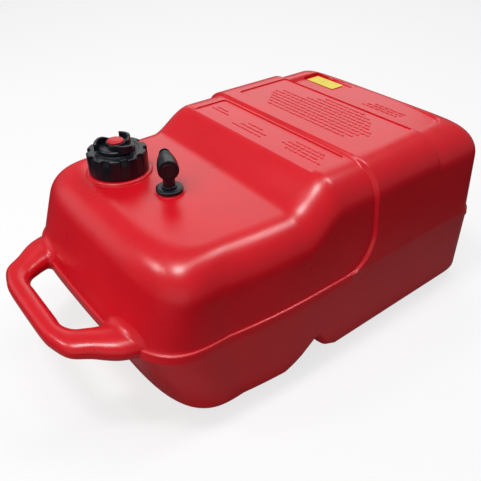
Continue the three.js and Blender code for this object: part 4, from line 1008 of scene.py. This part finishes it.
gasket_profile = rounded([
    (BUSH_HOLE + GAP, gasket_low.z / MM, 0), (BUSH_FLANGE_RADIUS, gasket_low.z / MM, 0.35),
    (BUSH_FLANGE_RADIUS, gasket_high.z / MM, 0.35), (BUSH_HOLE + GAP, gasket_high.z / MM, 0),
])
gasket = turned("flange_gasket", gasket_profile, ROUND_SIDES, place=PICKUP)
hand_over(gasket, "tank", "black_rubber", "pickup_gasket")

# %% Elbow with its barrel
BARREL_HEIGHT, BARREL_ANGLE = 23.0, math.radians(64)
BARREL_RADIUS, BARREL_BACK, BARREL_STRAIGHT, BARREL_TAPER, BARREL_END_RADIUS = 11.6, 8.0, 15.0, 16.0, 8.6
CHAMBER_WALL, CHAMBER_LENGTH, SEAT_LAP, SEAT_THICKNESS, SOCKET_WALL = 4.6, 17.5, 2.2, 2.4, 2.7
STEM_BORE, COLLAR_WIDTH, COLLAR_HEIGHT = 3.2, 1.85, 1.5
RING_GROOVE, RING_DEPTH, CLIP = 2.1, 1.6, 1.0
END_CAP_LIP, END_CAP_FLANGE, END_CAP_PLUG, POPPET_GAP = 2.0, 3.0, 4.0, 1.2
BARREL_AXIS = BUSH_TOP + BARREL_HEIGHT
BARREL_END = BARREL_STRAIGHT + BARREL_TAPER - BARREL_BACK
CHAMBER_RADIUS = BARREL_RADIUS - CHAMBER_WALL
END_CAP_RADIUS = BARREL_RADIUS - END_CAP_LIP
CHAMBER_END = CHAMBER_LENGTH - BARREL_BACK + END_CAP_FLANGE
SEAT_RADIUS = CHAMBER_RADIUS - POPPET_GAP - SEAT_LAP
BARREL_SOCKET = BARREL_END_RADIUS - SOCKET_WALL
along_barrel = (
    Matrix.Translation(Vector((PICKUP[0], PICKUP[1], BARREL_AXIS)) * MM)
    @ Matrix.Rotation(BARREL_ANGLE, 4, "Z") @ Matrix.Rotation(math.pi / 2, 4, "Y")
)


def laid(piece):
    """Lays a turned piece along the barrel of the elbow."""
    piece.data.transform(along_barrel)
    return piece


clip_middle = COUNTERBORE_TOP - GAP - CLIP / 2
ring_level = (BUSH_TOP + COUNTERBORE_TOP) / 2
clip_low, clip_high = clip_middle - CLIP / 2 - GAP, clip_middle + CLIP / 2 + GAP
ring_low, ring_high = ring_level - RING_GROOVE / 2, ring_level + RING_GROOVE / 2
collar_bottom = BUSH_TOP + GAP
stem_profile = rounded([
    (0, STEM_END, 0), (STEM_RADIUS, STEM_END, 0.3), (STEM_RADIUS, clip_low, 0),
    (STEM_RADIUS - STEM_GROOVE, clip_low, 0), (STEM_RADIUS - STEM_GROOVE, clip_high, 0),
    (STEM_RADIUS, clip_high, 0), (STEM_RADIUS, ring_low, 0),
    (STEM_RADIUS - RING_DEPTH, ring_low, 0), (STEM_RADIUS - RING_DEPTH, ring_high, 0),
    (STEM_RADIUS, ring_high, 0), (STEM_RADIUS, collar_bottom, 0),
    (STEM_RADIUS + COLLAR_WIDTH, collar_bottom, 0.4),
    (STEM_RADIUS + COLLAR_WIDTH, collar_bottom + COLLAR_HEIGHT, 0.5),
    (STEM_RADIUS, collar_bottom + COLLAR_HEIGHT, 0.8), (STEM_RADIUS, BARREL_AXIS - 13.5, 0),
    (STEM_RADIUS + 0.5, BARREL_AXIS - 11.5, 0), (STEM_RADIUS + 1.6, BARREL_AXIS - 9.5, 0),
    (STEM_RADIUS + 1.6, BARREL_AXIS, 0), (0, BARREL_AXIS, 0),
])
elbow = turned("pickup_elbow", stem_profile, ROUND_SIDES, place=PICKUP)
barrel_profile = rounded([
    (0, -BARREL_BACK, 0), (BARREL_RADIUS, -BARREL_BACK, 1.4),
    (BARREL_RADIUS, BARREL_STRAIGHT - BARREL_BACK, 6.0), (BARREL_END_RADIUS, BARREL_END, 0.7),
    (0, BARREL_END, 0),
], steps=6)
combine(elbow, laid(turned("barrel", barrel_profile, ROUND_SIDES)), "UNION")
recess = END_CAP_FLANGE - BARREL_BACK
passage = [
    (0, -BARREL_BACK - OVERRUN), (END_CAP_RADIUS, -BARREL_BACK - OVERRUN), (END_CAP_RADIUS, recess),
    (CHAMBER_RADIUS, recess), (CHAMBER_RADIUS, CHAMBER_END), (SEAT_RADIUS, CHAMBER_END),
    (SEAT_RADIUS, CHAMBER_END + SEAT_THICKNESS), (BARREL_SOCKET, CHAMBER_END + SEAT_THICKNESS),
    (BARREL_SOCKET, BARREL_END + OVERRUN), (0, BARREL_END + OVERRUN),
]
combine(elbow, laid(turned("passage", passage, ROUND_SIDES)), "DIFFERENCE")
combine(elbow, bore(STEM_BORE, STEM_END - OVERRUN, BARREL_AXIS, PICKUP), "DIFFERENCE")
hand_over(elbow, "elbow", "black_moulding", "swivel_elbow")

# %% Plug and nipple of the barrel
END_RING_INSET, END_RING_WIDTH, END_RING_RISE, GUIDE_RADIUS, GUIDE_DEPTH = 3.0, 1.6, 0.8, 2.6, 5.2
NIPPLE_STEP, NIPPLE_FLANGE, NIPPLE_CONE, NIPPLE_TUBE_RADIUS, NIPPLE_TUBE = 0.7, 2.4, 5.0, 4.5, 5.5
NIPPLE_WALL, NIPPLE_RIM, NIPPLE_RIM_LENGTH, NIPPLE_SPIGOT = 1.8, 1.8, 2.8, 7.0
plug_end = END_CAP_FLANGE + END_CAP_PLUG - BARREL_BACK
ring_out = END_CAP_RADIUS - END_RING_INSET + END_RING_WIDTH / 2
ring_in = ring_out - END_RING_WIDTH
plug_profile = rounded([
    (0, -BARREL_BACK, 0), (ring_in, -BARREL_BACK, 0.3), (ring_in, -BARREL_BACK - END_RING_RISE, 0.35),
    (ring_out, -BARREL_BACK - END_RING_RISE, 0.35), (ring_out, -BARREL_BACK, 0.3),
    (END_CAP_RADIUS - GAP, -BARREL_BACK, 0.4), (END_CAP_RADIUS - GAP, recess - GAP, 0),
    (CHAMBER_RADIUS - GAP, recess - GAP, 0), (CHAMBER_RADIUS - GAP, plug_end, 0.3),
    (GUIDE_RADIUS, plug_end, 0.3), (GUIDE_RADIUS, plug_end - GUIDE_DEPTH, 0), (0, plug_end - GUIDE_DEPTH, 0),
])
plug = laid(turned("ringed_barrel_plug", plug_profile, ROUND_SIDES))
hand_over(plug, "elbow", "black_moulding", "barrel_end_cap")
face = BARREL_END + GAP
flange_end = face + NIPPLE_FLANGE
cone_end = flange_end + NIPPLE_CONE
tube_end = cone_end + NIPPLE_TUBE
spigot, groove = BARREL_SOCKET - GAP, face - GAP - NIPPLE_SPIGOT / 2 + GAP
flange_radius = BARREL_END_RADIUS - NIPPLE_STEP
nipple_profile = rounded([
    (NIPPLE_TUBE_RADIUS - NIPPLE_WALL, face - NIPPLE_SPIGOT, 0), (spigot, face - NIPPLE_SPIGOT, 0.3),
    (spigot, groove - RING_GROOVE / 2, 0), (spigot - RING_DEPTH, groove - RING_GROOVE / 2, 0),
    (spigot - RING_DEPTH, groove + RING_GROOVE / 2, 0), (spigot, groove + RING_GROOVE / 2, 0),
    (spigot, face, 0), (flange_radius, face, 0.5), (flange_radius, flange_end, 0.5),
    (flange_radius - NIPPLE_STEP, flange_end, 0.4), (NIPPLE_TUBE_RADIUS, cone_end, 2.0),
    (NIPPLE_TUBE_RADIUS, tube_end - NIPPLE_RIM_LENGTH, 0.3),
    (NIPPLE_TUBE_RADIUS + NIPPLE_RIM, tube_end - NIPPLE_RIM_LENGTH, 0.4),
    (NIPPLE_TUBE_RADIUS + NIPPLE_RIM, tube_end - NIPPLE_RIM, 0.5),
    (NIPPLE_TUBE_RADIUS, tube_end, 0.4), (NIPPLE_TUBE_RADIUS - NIPPLE_WALL, tube_end, 0.3),
])
nipple = laid(turned("rimmed_hose_nipple", nipple_profile, ROUND_SIDES))
hand_over(nipple, "elbow", "black_moulding", "hose_nipple")

# %% Information plate
PLATE_ROUND, PLATE_EDGE = 1.5, 0.15
plate_outline = panel_outline(
    plate_low.x / MM, plate_high.x / MM, plate_low.y / MM, plate_high.y / MM, PLATE_ROUND,
)
plate = prism("bare_label_plate", plate_outline, plate_low.z / MM, plate_high.z / MM)
break_edges(plate, PLATE_EDGE)
hand_over(plate, "tank", "yellow_label", "info_plate")

# %% [markdown]
# ## Materials
# Each material starts from the plastic, rubber or metal that the real piece is made of. A noise
# pattern that is too fine to see one grain at a time changes the roughness and tilts the surface,
# which is what tells moulded plastic from paint. Pattern sizes are given in millimetres.
# %% Material helpers
def srgb(code):
    """Linear colour of a hex code as it is seen on a screen."""
    parts = [int(code[i:i + 2], 16) / 255 for i in (1, 3, 5)]
    return [part / 12.92 if part <= 0.04045 else ((part + 0.055) / 1.055) ** 2.4 for part in parts] + [1.0]


def per_metre(size):
    """Scale of a pattern whose features are that many millimetres across."""
    return 1 / (size * MM)


def add(tree, kind, inputs=None, **settings):
    """Adds a node, sets it, and fills its inputs with values or with links."""
    made = tree.nodes.new(kind)
    for name, value in settings.items():
        setattr(made, name, value)
    for name, value in (inputs or {}).items():
        if isinstance(value, bpy.types.NodeSocket):
            tree.links.new(value, made.inputs[name])
        else:
            made.inputs[name].default_value = value
    return made


def moulded(name, colours, mottle, roughness, grain, relief, **shader):
    """Material with two mottled colours, a varied roughness and a fine grain in relief."""
    material = bpy.data.materials.new(name)
    material.use_nodes = True
    tree = material.node_tree
    tree.nodes.clear()
    place = add(tree, "ShaderNodeTexCoord").outputs["Object"]
    clouds = add(tree, "ShaderNodeTexNoise", {
        "Vector": place, "Scale": per_metre(mottle), "Detail": 4.0, "Roughness": 0.6,
    })
    grains = add(tree, "ShaderNodeTexNoise", {
        "Vector": place, "Scale": per_metre(grain), "Detail": 3.0, "Roughness": 0.55,
    })
    colour = add(tree, "ShaderNodeValToRGB", {"Fac": clouds.outputs["Fac"]})
    colour.color_ramp.elements[0].position, colour.color_ramp.elements[1].position = 0.32, 0.68
    colour.color_ramp.elements[0].color, colour.color_ramp.elements[1].color = map(srgb, colours)
    rough = add(tree, "ShaderNodeMapRange", {
        "Value": clouds.outputs["Fac"], "To Min": roughness[0], "To Max": roughness[1],
    })
    bump = add(tree, "ShaderNodeBump", {
        "Height": grains.outputs["Fac"], "Strength": 1.0, "Distance": relief * MM,
    })
    surface = add(tree, "ShaderNodeBsdfPrincipled", {
        "Base Color": colour.outputs["Color"], "Roughness": rough.outputs["Result"],
        "Normal": bump.outputs["Normal"], **shader,
    })
    add(tree, "ShaderNodeOutputMaterial", {"Surface": surface.outputs["BSDF"]})
    return material


# %% [markdown]
# The tank is high-density polyethylene, blown into a mould with a sand-blasted face. That leaves a
# satin skin with a slight orange peel: broad soft highlights, and a colour that stays deep where
# the light doesn't strike. The cap and the pick-up are black nylon from a polished mould, so they
# are a little shinier. The seals are nitrile rubber, the clips and the spring plain stainless
# steel, and the dip tube natural polyethylene.
# %% Materials of the pieces
finishes = {
    "red_polyethylene": moulded(
        "blown_red_polyethylene", ("#CC0A1C", "#D60E20"), 70, (0.25, 0.32), 1.7, 0.03, IOR=1.54,
    ),
    "black_moulding": moulded(
        "moulded_black_nylon", ("#080B12", "#0F141D"), 12, (0.28, 0.4), 0.9, 0.02, IOR=1.5,
    ),
    "black_rubber": moulded(
        "moulded_nitrile_rubber", ("#151516", "#1E1E1F"), 6, (0.62, 0.8), 0.6, 0.03, IOR=1.52,
    ),
    "red_badge": moulded(
        "moulded_red_insert", ("#B8101E", "#D01A28"), 5, (0.3, 0.42), 0.8, 0.03, IOR=1.5,
    ),
    "spring_steel": moulded(
        "drawn_stainless_steel", ("#A9ACB0", "#C3C6CA"), 3, (0.2, 0.34), 0.5, 0.01, Metallic=1.0,
    ),
    "pale_tube": moulded(
        "extruded_natural_polyethylene", ("#CFCBBE", "#DDD9CE"), 14, (0.4, 0.52), 1.2, 0.02, IOR=1.52,
    ),
    "yellow_label": moulded(
        "printed_yellow_film", ("#D8C52C", "#E6D548"), 16, (0.38, 0.5), 1.4, 0.015, IOR=1.49,
    ),
}
slots = {part["node"]: part["material_slot"] for part in frame["record"]["subparts"]}
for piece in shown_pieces():
    slot = slots.get(piece.name) or piece.get("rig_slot")
    piece.data.materials.clear()
    piece.data.materials.append(finishes[slot])

# %% [markdown]
# ## Floor, light and background
# A satin skin shows each lamp as a soft spot, so a lamp stands where the line of sight goes after it
# bounces off the skin. Three small softboxes make the spots on the crests, and a strip along the
# tank the streak on the near crest. A wide softbox behind lies on the deck as a pale sheen, a low
# one at the handle hazes the front wall, and a fill lights that wall without a glare of its own, as
# behind a polarising filter. The floor keeps a faint shadow and is white to the camera. To light
# and reflections it is a white sheet under the tank, on a darker table.
# %% Floor and world
FLOOR_HALF, FLOOR_LEVEL = 4000, -0.2
SHEET_REACH, SHEET_END = (0.34, 0.22), 2.0
SHEET_TONE, TABLE_TONE, FLOOR_TONE, GLOW_SHARE, WORLD_STRENGTH = 0.8, 0.15, 0.9, 0.72, 0.22
floor_points = [(u * FLOOR_HALF, v * FLOOR_HALF, FLOOR_LEVEL) for u, v in SQUARE]
floor = make_object("floor", floor_points, [[0, 1, 2, 3]])
paper = bpy.data.materials.new("white_paper")
paper.use_nodes = True
tree = paper.node_tree
tree.nodes.clear()
light_path = add(tree, "ShaderNodeLightPath")
place = add(tree, "ShaderNodeTexCoord").outputs["Object"]
spread = add(tree, "ShaderNodeVectorMath", {
    0: place, 1: (1 / SHEET_REACH[0], 1 / SHEET_REACH[1], 0),
}, operation="MULTIPLY")
away = add(tree, "ShaderNodeVectorMath", {0: spread.outputs["Vector"]}, operation="LENGTH")
sheet = add(tree, "ShaderNodeMapRange", {
    "Value": away.outputs["Value"], "From Min": 1.0, "From Max": SHEET_END,
    "To Min": SHEET_TONE, "To Max": TABLE_TONE,
})
tone = add(tree, "ShaderNodeMapRange", {
    "Value": light_path.outputs["Is Camera Ray"], "To Min": sheet.outputs["Result"],
    "To Max": FLOOR_TONE,
})
diffuse = add(tree, "ShaderNodeBsdfDiffuse", {"Color": tone.outputs["Result"]})
glow = add(tree, "ShaderNodeEmission", {
    "Color": srgb("#FFFFFF"), "Strength": light_path.outputs["Is Camera Ray"],
})
blend = add(tree, "ShaderNodeMixShader", {"Fac": GLOW_SHARE})
tree.links.new(diffuse.outputs[0], blend.inputs[1])
tree.links.new(glow.outputs[0], blend.inputs[2])
add(tree, "ShaderNodeOutputMaterial", {"Surface": blend.outputs[0]})
floor.data.materials.append(paper)

world = bpy.data.worlds.new("white_studio")
bpy.context.scene.world = world
world.use_nodes = True
tree = world.node_tree
tree.nodes.clear()
ray = add(tree, "ShaderNodeLightPath")
seen = add(tree, "ShaderNodeMath", {
    0: ray.outputs["Is Camera Ray"], 1: ray.outputs["Is Transmission Ray"],
}, operation="MAXIMUM")
strength = add(tree, "ShaderNodeMapRange", {
    "Value": seen.outputs[0], "To Min": WORLD_STRENGTH, "To Max": 1.0,
})
sky = add(tree, "ShaderNodeBackground", {
    "Color": srgb("#FFFFFF"), "Strength": strength.outputs["Result"],
})
add(tree, "ShaderNodeOutputWorld", {"Surface": sky.outputs["Background"]})
bpy.context.scene.view_settings.view_transform = "Standard"
print("floor", floor.name, "and world", world.name)


# %% Lamps
LAMP_TARGET = (-0.05, 0, 0.2)


def softbox(name, target, direction, distance, width, height, radiance):
    """Rectangular lamp of a given brightness that stands in a direction from a point, and faces it."""
    data = bpy.data.lights.new(name, "AREA")
    data.shape = "RECTANGLE"
    data.size, data.size_y, data.energy = width, height, radiance * width * height * math.pi
    lamp = bpy.data.objects.new(name, data)
    bpy.context.scene.collection.objects.link(lamp)
    way = Vector(direction).normalized()
    lamp.location = Vector(target) + way * distance
    lamp.rotation_euler = (-way).to_track_quat("-Z", "Y").to_euler()
    return lamp


# Each lamp: its direction from the target, its distance, width and height, and its radiance
for name, direction, distance, width, height, radiance in (
    ("main_softbox", (-0.31, 0.05, 0.94), 1.9, 0.3, 0.42, 32),
    ("left_softbox", (-0.58, 0.37, 0.72), 1.9, 0.24, 0.24, 30),
    ("right_softbox", (0.5, -0.06, 0.86), 1.9, 0.36, 0.36, 14),
    ("ceiling_strip", (0.1, 0.0, 0.99), 1.9, 0.26, 1.7, 6),
    ("rear_softbox", (0.55, 0.68, 0.46), 2.2, 1.9, 1.2, 1.15),
    ("handle_softbox", (-0.52, 0.76, 0.3), 2.2, 1.0, 0.9, 0.6),
    ("front_fill", (-0.8, -0.5, 0.25), 1.9, 2.4, 1.6, 1.25),
):
    lamp = softbox(name, LAMP_TARGET, direction, distance, width, height, radiance)
    lamp.visible_glossy = name != "front_fill"
